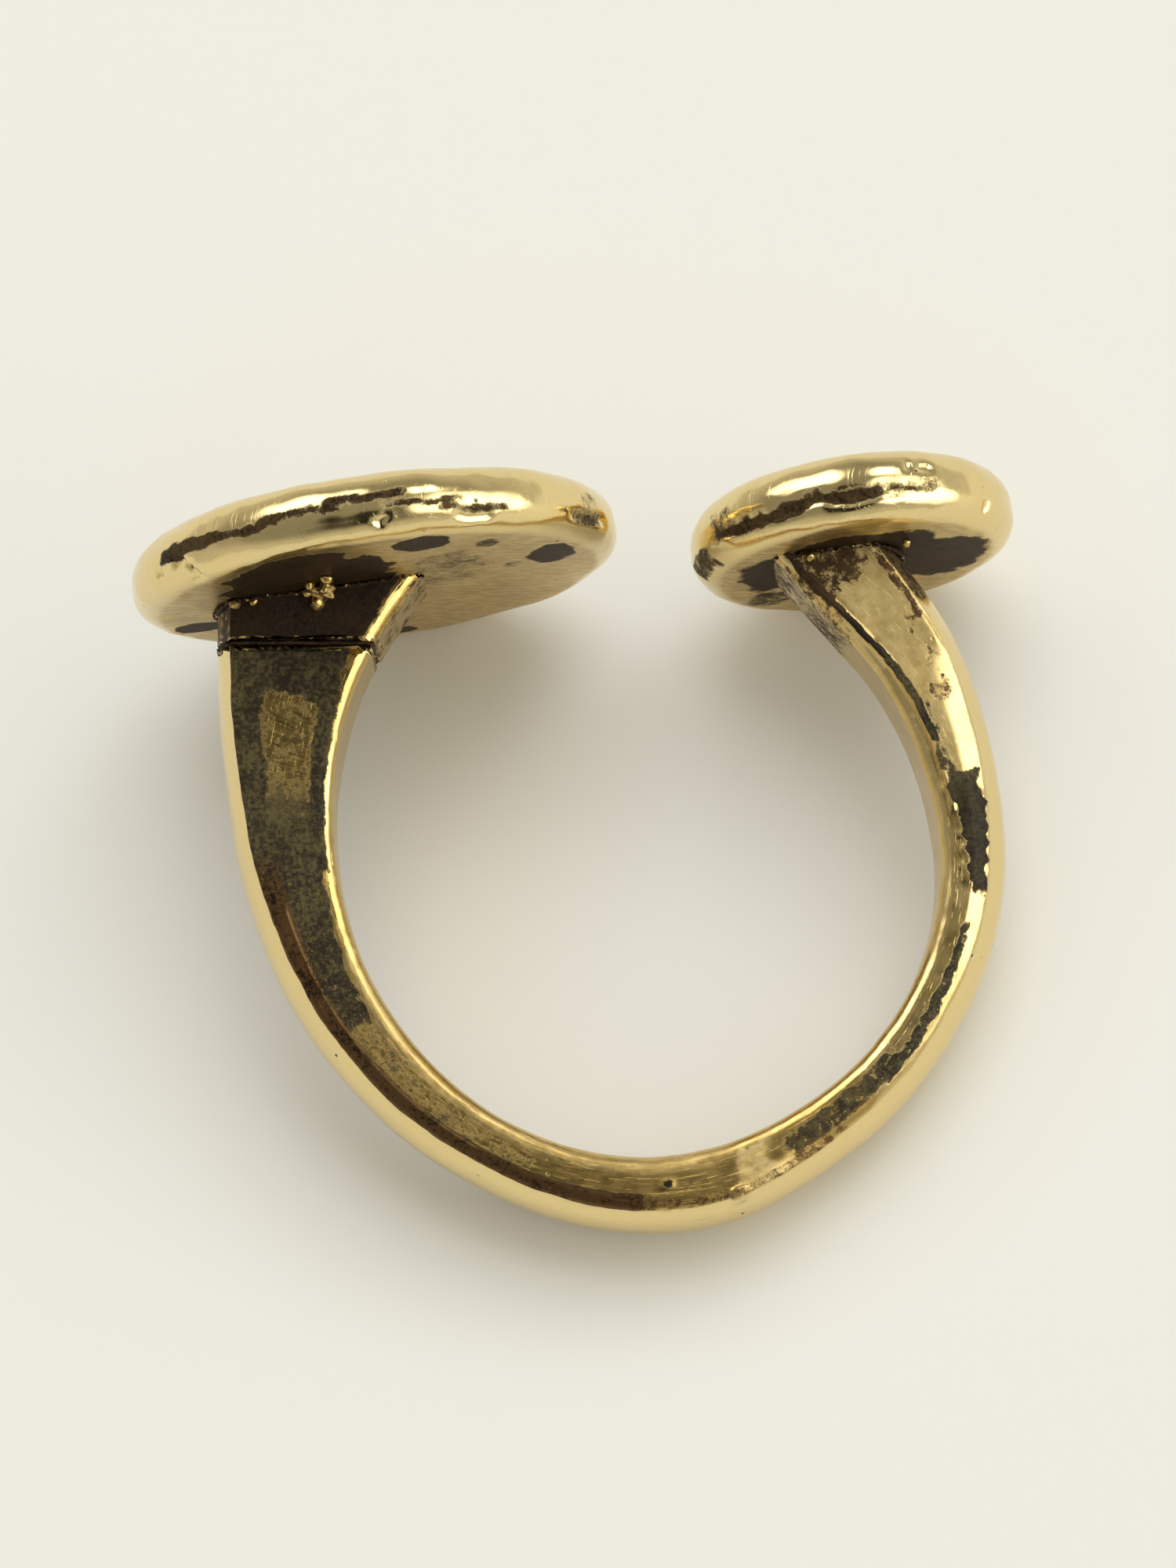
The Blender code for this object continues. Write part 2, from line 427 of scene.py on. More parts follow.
@dataclass(frozen=True)
class DiscMark:
    """An oval mark on a disc's underside, in the disc's own plane.

    Attributes:
        across, along_finger: its middle, from the disc's middle.
        length, width: its size across the ring and along the finger.
        amount: how strong it is, or how deep in metres for a mark in the metal.
        turn: how far it is turned in the disc's plane.
        soft: share of its size over which it fades.
    """

    across: float
    along_finger: float
    length: float
    width: float
    amount: float
    turn: float = 0.0
    soft: float = 0.35


@dataclass(frozen=True)
class RimMark:
    """A mark on a disc's rim.

    Attributes:
        start, end: angles that it runs between, from the ring's middle plane, 90 facing the near side.
        low, high: shares of the disc's thickness that it lies between, 0 at the underside.
        amount: how strong it is, or how deep in metres for a mark in the metal.
    """

    start: float
    end: float
    low: float
    high: float
    amount: float


# The band


@dataclass(frozen=True)
class WornEdge:
    """A stretch of the band whose outer long edges are worn away.

    Attributes:
        start, end: angles that it runs between.
        depth: how far each side leans in at the outside.
        rise_from: share of the side's height at which it starts to lean in.
    """

    start: float
    end: float
    depth: float
    rise_from: float


@dataclass(frozen=True)
class BandForm:
    """Shape of the bar once it is bent round the finger.

    Attributes:
        stations: angle, how far the hole is out of round there, and height of the flat sides, by angle.
        dome_rise: how far the outside is domed over the sides.
        inner_round: radius of the edges next to the finger.
        outer_round: radius of the edges between the sides and the dome.
        bar_height: height of the straight bar before it is bent and drawn down.
        worn_edges: stretches whose outer edges are worn away.
        worn_soft: distance in degrees over which those stretches fade.
    """

    stations: tuple[tuple[float, float, float], ...] = (
        (-160, 2.60 * MM, 9.20 * MM),
        (-140, 1.42 * MM, 6.85 * MM),
        (-125, 0.93 * MM, 4.60 * MM),
        (-105, 0.32 * MM, 2.90 * MM),
        (-85, -0.07 * MM, 2.20 * MM),
        (-60, -0.27 * MM, 1.76 * MM),
        (-30, -0.17 * MM, 1.43 * MM),
        (0, 0.01 * MM, 1.52 * MM),
        (15, 0.00 * MM, 1.56 * MM),
        (30, -0.04 * MM, 1.32 * MM),
        (60, 0.04 * MM, 1.20 * MM),
        (85, 0.06 * MM, 1.38 * MM),
        (105, -0.03 * MM, 1.62 * MM),
        (125, 0.04 * MM, 2.08 * MM),
        (145, 0.32 * MM, 2.55 * MM),
        (165, 1.50 * MM, 3.40 * MM),
    )
    dome_rise: float = 0.5 * MM
    inner_round: float = 0.40 * MM
    outer_round: float = 0.12 * MM
    bar_height: float = 1.5 * MM
    worn_edges: tuple[WornEdge, ...] = (
        WornEdge(34, 112, 0.26 * MM, 0.60),
        WornEdge(-72, 2, 0.10 * MM, 0.76),
    )
    worn_soft: float = 16.0

    def at(self, angle: Spots) -> tuple[Spots, Spots]:
        """Size of the band at these angles, on a smooth curve through the stations.

        Args:
            angle: the angles.

        Returns:
            The radius of the hole and the height of the flat sides.
        """
        table = np.array(self.stations)
        knots = table[:, 0]
        slopes = np.gradient(table[:, 1:], knots, axis=0)
        index = np.clip(np.searchsorted(knots, angle, side="right") - 1, 0, len(knots) - 2)
        span = knots[index + 1] - knots[index]
        share = np.clip((angle - knots[index]) / span, 0.0, 1.0)
        square, cube = share**2, share**3
        weights = (2 * cube - 3 * square + 1, cube - 2 * square + share, 3 * square - 2 * cube, cube - square)
        columns = []
        for column in (1, 2):
            values, slope = table[:, column], slopes[:, column - 1]
            columns.append(
                weights[0] * values[index]
                + weights[1] * slope[index] * span
                + weights[2] * values[index + 1]
                + weights[3] * slope[index + 1] * span
            )
        return HOLE_RADIUS + columns[0], columns[1]

    def dome(self, across: Spots, width: float) -> Spots:
        """Height of the dome over the sides.

        Args:
            across: distances from the middle of the band.
            width: width of the band.

        Returns:
            The height at each of them.
        """
        half = width / 2 - self.outer_round
        radius = (half**2 + self.dome_rise**2) / (2 * self.dome_rise)
        reach = np.minimum(np.abs(across), half)
        return np.sqrt(radius**2 - reach**2) - (radius - self.dome_rise)

    def bend(self, bar: Spots, first: float, last: float, length: float, width: float) -> Spots:
        """Bends a straight bar round the finger.

        Args:
            bar: positions on the bar, +X along it, +Y away from the finger and +Z across it.
            first, last: angles that the bar's two ends come to.
            length: length of the bar.
            width: width of the bar.

        Returns:
            The positions on the bent band.
        """
        angle = first + (bar[:, 0] / length + 0.5) * (last - first)
        hole, side_height = self.at(angle)
        over = bar[:, 1]
        flat_top, bar_top = self.bar_height - self.outer_round, self.bar_height
        stretched = self.inner_round + (over - self.inner_round) * (
            (side_height - self.outer_round - self.inner_round) / (flat_top - self.inner_round)
        )
        upper = np.where(over >= flat_top, side_height - bar_top + over, stretched)
        height = np.where(over <= self.inner_round, over, upper)
        height += self.dome(bar[:, 2], width) * smooth_step(flat_top, bar_top, over)
        turn = np.radians(angle)
        radius = hole + height
        narrowed = 1.0 - self.worn(angle, height / side_height) / (width / 2)
        return np.column_stack((radius * np.sin(turn), -radius * np.cos(turn), bar[:, 2] * narrowed))

    def worn(self, angle: Spots, rise: Spots) -> Spots:
        """How far each side leans in where the outer edges are worn.

        Args:
            angle: angle of each spot.
            rise: its share of the side's height.

        Returns:
            The distance that each spot is in from the flat side.
        """
        lean = np.zeros(len(angle))
        for edge in self.worn_edges:
            here = window(angle, edge.start, edge.end, self.worn_soft)
            lean += edge.depth * here * smooth_step(edge.rise_from, 1.05, rise)
        return lean

    def locate(self, spots: Spots) -> tuple[Spots, Spots]:
        """Where the spots of the bent band are along it and over the hole.

        Args:
            spots: positions in the ring's frame.

        Returns:
            The angle of each, and its height as a share of the side's height.
        """
        angle = np.degrees(np.arctan2(spots[:, 0], -spots[:, 1]))
        hole, side_height = self.at(angle)
        return angle, (np.hypot(spots[:, 0], spots[:, 1]) - hole) / side_height


@dataclass
class BandPiece:
    """A length of the bent bar, such as the shank or the shoulder block.

    Attributes:
        name: name of the piece.
        first, last: angles that the bar reaches before it is sawn to length.
        width: width of the bar along the finger.
        along_cuts: how often the bar is cut into eight along its length, for fine work.
        cuts_inside, cuts_side, cuts_outside: cuts across its surfaces.
        lip_highlight: height in the ring's frame of the sawn edge, which is painted as a bright line: partly rubbed
            brass, partly a painted highlight of the edge.
        form: shape of the bent bar.
        coats: its painted marks, by ageing attribute.
        dents, ridges: marks in the metal, with their depth or height.
    """

    name: str
    first: float
    last: float
    width: float
    lip_highlight: float
    form: BandForm = field(default_factory=BandForm)
    along_cuts: int = 3
    cuts_inside: int = 20
    cuts_side: int = 26
    cuts_outside: int = 24
    coats: dict[Paint, Sequence[BandMark]] = field(default_factory=dict)
    dents: Sequence[BandMark] = ()
    ridges: Sequence[BandMark] = ()

    def straight_bar(self, length: float) -> bpy.types.Object:
        """Makes a bar with rounded long edges, cut finely in both directions and open at its ends.

        Args:
            length: its length.

        Returns:
            The bar, with +X along it, +Y away from the finger and +Z across it.
        """
        form, half = self.form, self.width / 2
        start_fresh()
        bpy.ops.mesh.primitive_cube_add(size=1, location=(0, form.bar_height / 2, 0))
        bar = bpy.context.object
        bar.name = self.name
        bar.scale = (length, form.bar_height, self.width)
        bake_scale()

        def lengthwise(edge: Edge) -> bool:
            """Whether an edge runs along the bar."""
            return abs(edge.verts[0].co.x - edge.verts[1].co.x) > NEAR

        with editing(bar) as shape:
            bpy.ops.mesh.select_mode(type="FACE")
            for face in shape.faces:
                face.select_set(abs(face.normal.x) > 0.5)
            bmesh.update_edit_mesh(bar.data)
            bpy.ops.mesh.delete(type="ONLY_FACE")
            for level, radius, segments in ((0.0, form.inner_round, 5), (form.bar_height, form.outer_round, 4)):
                select_edges(bar, lambda edge: lengthwise(edge) and abs(edge.verts[0].co.y - level) < NEAR)
                bpy.ops.mesh.bevel(offset=radius, offset_type="OFFSET", segments=segments, affect="EDGES")
            rows = (
                (self.cuts_inside, lambda spot: spot.y < NEAR and abs(spot.z) < half / 2),
                (self.cuts_outside, lambda spot: spot.y > form.bar_height - NEAR and abs(spot.z) < half / 2),
                (self.cuts_side, lambda spot: abs(spot.z) > half - NEAR),
            )
            for cuts, on_surface in rows:
                select_edges(bar, lambda edge: not lengthwise(edge) and on_surface(middle(edge)))
                bpy.ops.mesh.subdivide(number_cuts=cuts, quadcorner="STRAIGHT_CUT")
            for _ in range(self.along_cuts):
                select_edges(bar, lengthwise)
                bpy.ops.mesh.subdivide(number_cuts=7, quadcorner="STRAIGHT_CUT")
        return bar

    def saw(self, piece: bpy.types.Object, point: Vector, normal: Vector, arm: Arm) -> None:
        """Saws off what stands past a plane on one arm, and closes the cut.

        Args:
            piece: the piece to saw.
            point: a point of the plane.
            normal: direction of the side that is cut off.
            arm: the arm that is sawn.
        """
        with editing(piece) as shape:
            bpy.ops.mesh.select_mode(type="FACE")
            for face in shape.faces:
                face.select_set(face.calc_center_median().x * arm.value > 0)
            bmesh.update_edit_mesh(piece.data)
            bpy.ops.mesh.bisect(
                plane_co=point, plane_no=normal, use_fill=True, clear_outer=True, clear_inner=False
            )
            bpy.ops.mesh.select_all(action="SELECT")
            bpy.ops.mesh.remove_doubles(threshold=SLIVER)

    def on(self, surface: Surface, spots: Spots, angle: Spots, rise: Spots) -> Spots:
        """How much each spot belongs to a surface.

        Args:
            surface: the surface.
            spots: positions in the ring's frame.
            angle, rise: the same places as angles and shares of the side's height.

        Returns:
            A value from 0 to 1 for each spot.
        """
        edge = self.width / 2 - self.form.worn(angle, rise)
        side = smooth_step(edge - 0.12 * MM, edge - 0.03 * MM, np.abs(spots[:, 2]))
        if surface is Surface.SIDES:
            return side
        if surface is Surface.OUTSIDE:
            return (1.0 - side) * (rise > 0.5)
        if surface is Surface.INSIDE:
            return (1.0 - side) * (rise <= 0.5)
        return np.ones_like(rise)

    def strength(self, marks: Iterable[BandMark], spots: Spots) -> Spots:
        """How strong the strongest of some marks is.

        Args:
            marks: the marks.
            spots: positions in the ring's frame.

        Returns:
            The strength at each spot.
        """
        angle, rise = self.form.locate(spots)
        along = np.column_stack((np.radians(angle) * HOLE_RADIUS, spots[:, 2], np.zeros(len(spots))))
        comb = 0.30 * ripple(along * (1.0, 0.15, 1.0), 0.22 * MM, 21, 2)
        blot = 0.07 * ripple(spots, 0.6 * MM, 22, 4)
        drift = 2.5 * ripple(spots, 0.9 * MM, 23, 4)
        total = np.zeros(len(spots))
        for mark in marks:
            reach = mark.reach(angle + drift * mark.ragged, rise + comb * mark.combed + blot * mark.ragged)
            total = np.maximum(total, mark.amount * reach * self.on(mark.surface, spots, angle, rise))
        return total

    def work_surface(self, piece: bpy.types.Object) -> None:
        """Gives the bent bar the slight waves, uneven edges and dents of hand work.

        Args:
            piece: the bent bar.
        """
        spots = positions(piece)
        _, rise = self.form.locate(spots)
        edge = self.width / 2
        near_edge = smooth_step(edge - 0.5 * MM, edge, np.abs(spots[:, 2]))
        near_edge *= np.maximum(1 - smooth_step(0.0, 0.3, rise), smooth_step(0.75, 1.0, rise))
        wave = 0.022 * MM * ripple(spots, 2.4 * MM, 1) + 0.006 * MM * ripple(spots, 0.55 * MM, 2)
        uneven = 0.03 * MM * near_edge * ripple(spots, 0.9 * MM, 3)
        push(piece, wave + uneven - self.strength(self.dents, spots) + self.strength(self.ridges, spots))

    def age(self, piece: bpy.types.Object) -> None:
        """Paints how the piece has aged, and how far it is from the sawn edge of its left arm, which the finish
        turns into a painted highlight along that edge.

        Args:
            piece: the sawn piece.
        """
        spots = positions(piece)
        angle, rise = self.form.locate(spots)
        hole, side_height = self.form.at(angle)
        lay_grain(piece, np.radians(angle) * hole, rise * side_height)
        coats = {coat: self.strength(marks, spots) for coat, marks in self.coats.items()}
        # Distance from the sawn edge: the finish paints a bright line there, partly rubbed brass, partly a painted
        # highlight.
        coats[Paint.INSET] = np.where(spots[:, 0] < 0, np.abs(spots[:, 1] - self.lip_highlight) / MM, 1.0)
        paint(piece, coats)

    def build(self, cuts: Iterable[tuple[Vector, Vector, Arm]]) -> bpy.types.Object:
        """Makes the piece in the ring's frame.

        Args:
            cuts: planes that it is sawn at, each with the side to cut off and the arm it is on.

        Returns:
            The finished piece, without its finish.
        """
        length = math.radians(self.last - self.first) * HOLE_RADIUS
        piece = self.straight_bar(length)
        move_to(piece, self.form.bend(positions(piece), self.first, self.last, length, self.width))
        self.work_surface(piece)
        for point, normal, arm in cuts:
            self.saw(piece, point, normal, arm)
        self.age(piece)
        shade(piece, 40)
        return piece


# The discs


@dataclass
class Disc:
    """A solid round disc with a flat top and underside and a hand-rounded rim.

    Attributes:
        name: name of the piece.
        radius, thickness: its size.
        seat: plane of its underside.
        along: place of its middle along the seat.
        top_round, under_round: radii of its rim at the top and at the underside.
        seed: makes its unevenness its own.
        segments: vertices round the rim.
        rings: rings of faces across the top and the underside.
        underside_soot: painted stains under the disc. rim_soot_and_reflection: dark marks painted on the rim,
            partly stains and partly a painted reflection: on the large disc a dark wavy line where the rim would
            mirror the dark overhead.
        rim_pits: small holes in the rim, with their depth.
    """

    name: str
    radius: float
    thickness: float
    seat: Seat
    along: float
    top_round: float = 1.08 * MM
    under_round: float = 0.82 * MM
    seed: int = 1
    segments: int = 400
    rings: int = 40
    underside_soot: Sequence[DiscMark] = ()
    rim_soot_and_reflection: Sequence[RimMark] = ()
    rim_pits: Sequence[RimMark] = ()

    def blank(self) -> bpy.types.Object:
        """Turns the blank, with rounded rims and cut finely.

        Returns:
            The blank, standing on z = 0.
        """
        start_fresh()
        bpy.ops.mesh.primitive_cylinder_add(
            vertices=self.segments, radius=self.radius, depth=self.thickness, location=(0, 0, self.thickness / 2)
        )
        disc = bpy.context.object
        disc.name = self.name
        bake_scale()
        rims = ((0.0, self.under_round), (self.thickness, self.top_round))
        with editing(disc):
            for level, radius in rims:
                select_edges(disc, lambda edge: all(abs(vert.co.z - level) < NEAR for vert in edge.verts))
                bpy.ops.mesh.bevel(offset=radius, offset_type="OFFSET", segments=18, affect="EDGES")
            for level, radius in rims:
                step = (self.radius - radius - 0.25 * MM) / self.rings
                bpy.ops.mesh.select_all(action="DESELECT")
                bpy.ops.mesh.select_mode(type="FACE")
                faces = bmesh.from_edit_mesh(disc.data).faces
                flat = min(faces, key=lambda face: abs(face.calc_center_median().z - level) - len(face.verts))
                flat.select_set(True)
                bmesh.update_edit_mesh(disc.data)
                for _ in range(self.rings):
                    bpy.ops.mesh.inset(thickness=step)
                bpy.ops.mesh.poke()
        return disc

    def wobble(self, disc: bpy.types.Object) -> None:
        """Makes the rim, the top and the underside as uneven as hand polishing leaves them.

        Args:
            disc: the blank.
        """
        spots = positions(disc)
        outer = smooth_step(self.radius * 0.72, self.radius * 0.95, np.hypot(spots[:, 0], spots[:, 1]))
        wave = (0.012 * MM + 0.045 * MM * outer) * ripple(spots, 2.4 * MM, self.seed)
        middling = (0.003 * MM + 0.015 * MM * outer) * ripple(spots, 0.9 * MM, self.seed + 5, 2)
        fine = 0.0016 * MM * outer * ripple(spots, 0.22 * MM, self.seed + 9, 2)
        push(disc, wave + middling + fine - 0.02 * MM * outer - self.on_rim(self.rim_pits, spots))

    def on_rim(self, marks: Iterable[RimMark], spots: Spots) -> Spots:
        """How strong the strongest of some rim marks is.

        Args:
            marks: the marks.
            spots: positions in the disc's frame.

        Returns:
            The strength at each spot.
        """
        angle = np.degrees(np.arctan2(-spots[:, 1], spots[:, 0]))
        angle += 2.5 * ripple(spots, 0.5 * MM, self.seed + 13, 3)
        height = spots[:, 2] / self.thickness + 0.07 * ripple(spots, 0.9 * MM, self.seed + 14, 4)
        outer = smooth_step(self.radius - 0.9 * MM, self.radius - 0.4 * MM, np.hypot(spots[:, 0], spots[:, 1]))
        total = np.zeros(len(spots))
        for mark in marks:
            soft = max(1.0, (mark.end - mark.start) * 0.3)
            reach = window(angle, mark.start, mark.end, soft) * window(height, mark.low, mark.high, 0.09)
            total = np.maximum(total, mark.amount * reach * outer)
        return total

    def under(self, marks: Iterable[DiscMark], spots: Spots) -> Spots:
        """How strong the strongest of some marks on the underside is.

        Args:
            marks: the marks.
            spots: positions in the disc's frame.

        Returns:
            The strength at each spot.
        """
        below = 1.0 - smooth_step(0.3 * MM, 0.6 * MM, spots[:, 2])
        blot = 0.22 * ripple(spots, 0.8 * MM, self.seed + 11, 4)
        total = np.zeros(len(spots))
        for mark in marks:
            turn = math.radians(mark.turn)
            x, y = spots[:, 0] - mark.across, -spots[:, 1] - mark.along_finger
            lengthwise = (x * math.cos(turn) + y * math.sin(turn)) / (mark.length / 2)
            crosswise = (y * math.cos(turn) - x * math.sin(turn)) / (mark.width / 2)
            past = smooth_step(1.0 - mark.soft, 1.0 + mark.soft, np.hypot(lengthwise, crosswise) + blot)
            total = np.maximum(total, mark.amount * (1.0 - past))
        return total * below

    def age(self, disc: bpy.types.Object) -> None:
        """Paints the dark stains underneath and in the rim, the painted dark reflection line on the rim, and the
        polish everywhere else.

        Args:
            disc: the blank.
        """
        spots = positions(disc)
        lay_grain(disc, spots[:, 0] + 0.6 * spots[:, 1], spots[:, 1] - 0.6 * spots[:, 0])
        # Soot here holds the stains and the rim's painted reflection: a dark wavy line standing for the dark
        # overhead mirrored in the rim.
        soot = np.maximum(self.under(self.underside_soot, spots), self.on_rim(self.rim_soot_and_reflection, spots))
        reach = np.hypot(spots[:, 0], spots[:, 1])
        flat_under = 1.0 - smooth_step(0.0 * MM, 0.14 * MM, spots[:, 2])
        flat_under *= 1.0 - smooth_step(self.radius - self.under_round, self.radius - self.under_round * 0.6, reach)
        coats = {
            Paint.SOOT: soot,
            Paint.TAN: 0.45 * flat_under,
            Paint.POLISH: 1.0 - flat_under,
            Paint.FILED: 0.4 * flat_under,
            Paint.MOSSY: 0.45 * (1.0 - flat_under),
            Paint.RUSTY: 0.28,
            Paint.INSET: 1.0,
        }
        paint(disc, coats)

    def build(self) -> bpy.types.Object:
        """Makes the disc.

        Returns:
            The finished disc in the ring's frame, without its finish.
        """
        disc = self.blank()
        self.wobble(disc)
        self.age(disc)
        lay(disc, self.seat.place(self.along))
        shade(disc, 60)
        return disc


# Solder


@dataclass(frozen=True)
class Nugget:
    """A drop of solder or flux that has set on the brass.

    Attributes:
        spot: its middle in the ring's frame.
        radius: its size.
    """

    spot: tuple[float, float, float]
    radius: float


@dataclass
class SolderBead:
    """Solder that has run round a joint: a thin, lumpy crust that lies against the brass.

    Attributes:
        node: the CAD node that it stands for.
        hosts: the CAD nodes that it lies against.
        clearance: the gap that the CAD leaves between them.
        bite: how far it runs into their surface.
        shrink: share of its spread over the brass that it keeps.
        lumps: how far its lumps stand out.
        lump_size: how far apart they are.
        voxel: size of the remeshed faces.
        nuggets: drops of solder beside it.
    """

    node: str
    hosts: Sequence[str]
    clearance: float = 0.1 * MM
    bite: float = 0.04 * MM
    shrink: float = 0.5
    lumps: float = 0.05 * MM
    lump_size: float = 0.3 * MM
    voxel: float = 0.045 * MM
    nuggets: Sequence[Nugget] = ()

    def cad_copy(self) -> bpy.types.Object:
        """Copies the CAD solid and merges the copy's corners.

        Returns:
            The copy.
        """
        mesh = frame["nodes"][self.node].data.copy()
        bead = bpy.data.objects.new(self.node + "_crust", mesh)
        bpy.context.scene.collection.objects.link(bead)
        with editing(bead):
            bpy.ops.mesh.select_all(action="SELECT")
            bpy.ops.mesh.remove_doubles(threshold=0.1 * NEAR)
        return bead

    def lay_against(self, bead: bpy.types.Object) -> None:
        """Pulls the bead in towards the brass that it lies against, closing the gap.

        Args:
            bead: the bead.
        """
        spots = positions(bead)
        for host in self.hosts:
            brass = frame["nodes"][host].data
            corners = [vertex.co for vertex in brass.vertices]
            tree = BVHTree.FromPolygons(corners, [tuple(face.vertices) for face in brass.polygons])
            for index, spot in enumerate(spots):
                nearest, _, _, distance = tree.find_nearest(Vector(spot))
                kept = (distance - self.clearance) * self.shrink - self.bite
                spots[index] = nearest + (Vector(spot) - nearest) * (kept / max(distance, NEAR))
        move_to(bead, spots)

    def add_nuggets(self, bead: bpy.types.Object, place: Matrix) -> None:
        """Joins the drops to the bead.

        Args:
            bead: the bead.
            place: takes the ring's frame to the table's.
        """
        for nugget in self.nuggets:
            start_fresh()
            bpy.ops.mesh.primitive_ico_sphere_add(
                subdivisions=3, radius=nugget.radius, location=place @ Vector(nugget.spot)
            )
            drop = bpy.context.object
            bake_scale()
            push(drop, 0.45 * nugget.radius * ripple(positions(drop), 0.9 * nugget.radius, 12, 2))
            pick(drop, bead)
            bpy.ops.object.join()

    def build(self, place: Matrix) -> bpy.types.Object:
        """Makes the bead where its CAD solid lies.

        Args:
            place: takes the ring's frame to the table's.

        Returns:
            The finished bead, without its finish.
        """
        bead = self.cad_copy()
        modify(bead, "REMESH", mode="VOXEL", voxel_size=self.voxel)
        self.lay_against(bead)
        self.add_nuggets(bead, place)
        modify(bead, "REMESH", mode="VOXEL", voxel_size=self.voxel)
        push(bead, 0.02 * MM + self.lumps * ripple(positions(bead), self.lump_size, 7, 3))
        modify(bead, "SMOOTH", iterations=2)
        spots = positions(bead)
        lay_grain(bead, spots[:, 0], spots[:, 1])
        bright = smooth_step(0.26, 0.6, ripple(spots, 0.35 * MM, 11, 2))
        for nugget in self.nuggets:
            away = np.linalg.norm(spots - np.array(place @ Vector(nugget.spot)), axis=1)
            bright = np.maximum(bright, 0.62 * (away < nugget.radius * 1.4))
        coats = {
            Paint.SOOT: 1.0 - 0.9 * bright,
            Paint.TAN: 0.8,
            Paint.POLISH: bright,
            Paint.RUSTY: 0.3,
            Paint.INSET: 1.0,
        }
        paint(bead, coats)
        shade(bead, 80)
        return bead


# Finishes


Colour = tuple[float, float, float]
Socket = bpy.types.NodeSocket
Given = bpy.types.NodeOutputs


def input_name(coat: Paint) -> str:
    """Name of the aged brass group's input for a coat."""
    return coat.value.capitalize()


class Graph:
    """Adds and joins nodes in a node tree."""

    def __init__(self, tree: bpy.types.NodeTree) -> None:
        """Takes the node tree to add to."""
        self.tree = tree

    def node(self, kind: str, **settings: object) -> bpy.types.Node:
        """Adds a node.

        Args:
            kind: the kind of node.
            settings: its settings.

        Returns:
            The node.
        """
        made = self.tree.nodes.new(kind)
        for name, value in settings.items():
            setattr(made, name, value)
        return made

    def feed(self, target: Socket, source: object) -> None:
        """Links a socket to another, or gives it a value.

        Args:
            target: the input socket.
            source: an output socket, a colour or a value.
        """
        if isinstance(source, Socket):
            self.tree.links.new(source, target)
        elif isinstance(source, tuple) and len(source) == 3 and target.type == "RGBA":
            target.default_value = (*source, 1.0)
        else:
            target.default_value = source

    def maths(self, operation: str, *sources: object) -> Socket:
        """Does a sum.

        Args:
            operation: what is done.
            sources: one, two or three values.

        Returns:
            The result.
        """
        made = self.node("ShaderNodeMath", operation=operation)
        for socket, source in zip(made.inputs, sources):
            self.feed(socket, source)
        return made.outputs[0]

    def sway(self, base: object, noise: Socket, amount: object) -> Socket:
        """A value moved up and down by noise of 0 to 1."""
        return self.maths("MULTIPLY_ADD", self.maths("SUBTRACT", noise, 0.5), amount, base)

    def less(self, taken: Socket, share: float) -> Socket:
        """1 less a share of a value."""
        return self.maths("MULTIPLY_ADD", taken, -share, 1.0)

    def span(self, value: object, low: object, high: object) -> Socket:
        """Rises smoothly from 0 to 1.

        Args:
            value: what it depends on.
            low, high: where it is 0 and where it is 1.

        Returns:
            The result.
        """
        made = self.node("ShaderNodeMapRange", interpolation_type="SMOOTHSTEP")
        for name, source in (("Value", value), ("From Min", low), ("From Max", high)):
            self.feed(made.inputs[name], source)
        return made.outputs["Result"]

    def blend(self, share: object, first: object, second: object) -> Socket:
        """Mixes two numbers.

        Args:
            share: 0 for the first and 1 for the second.
            first, second: the numbers.

        Returns:
            The number between them.
        """
        made = self.node("ShaderNodeMix", data_type="FLOAT")
        for index, source in ((0, share), (2, first), (3, second)):
            self.feed(made.inputs[index], source)
        return made.outputs[0]

    def tint(self, share: object, first: object, second: object, way: str = "MIX") -> Socket:
        """Mixes two colours.

        Args:
            share: 0 for the first and 1 for the second.
            first, second: the colours.
            way: how they are mixed.

        Returns:
            The mixed colour.
        """
        made = self.node("ShaderNodeMix", data_type="RGBA", blend_type=way)
        for index, source in ((0, share), (6, first), (7, second)):
            self.feed(made.inputs[index], source)
        return made.outputs[2]

    def cloud(self, place: object, scale: float, detail: float = 4.0, rough: float = 0.55) -> Socket:
        """Noise from 0 to 1.

        Args:
            place: where it is read.
            scale: features in a unit.
            detail: finer layers.
            rough: strength of those layers.

        Returns:
            The noise.
        """
        made = self.node("ShaderNodeTexNoise")
        for name, source in (("Vector", place), ("Scale", scale), ("Detail", detail), ("Roughness", rough)):
            self.feed(made.inputs[name], source)
        return made.outputs["Fac"]

    def stretched(self, along: Socket, over: Socket, place: Socket, slow: float, fast: float) -> Socket:
        """Noise drawn out into strokes.

        Args:
            along, over: distances along the strokes and across them.
            place: where it is read.
            slow, fast: features in a unit along the strokes and across them.

        Returns:
            The noise, from 0 to 1.
        """
        apart = self.node("ShaderNodeSeparateXYZ")
        self.feed(apart.inputs[0], place)
        together = self.node("ShaderNodeCombineXYZ")
        sources = ((along, slow), (over, fast), (apart.outputs["Z"], fast * 0.3))
        for socket, (source, scale) in zip(together.inputs, sources):
            self.feed(socket, self.maths("MULTIPLY", source, scale))
        return self.cloud(together.outputs[0], 1.0, 3, 0.6)

    def read(self, attribute: Paint | Lay) -> Socket:
        """A vertex attribute of the mesh."""
        return self.node("ShaderNodeAttribute", attribute_name=attribute.value).outputs["Fac"]


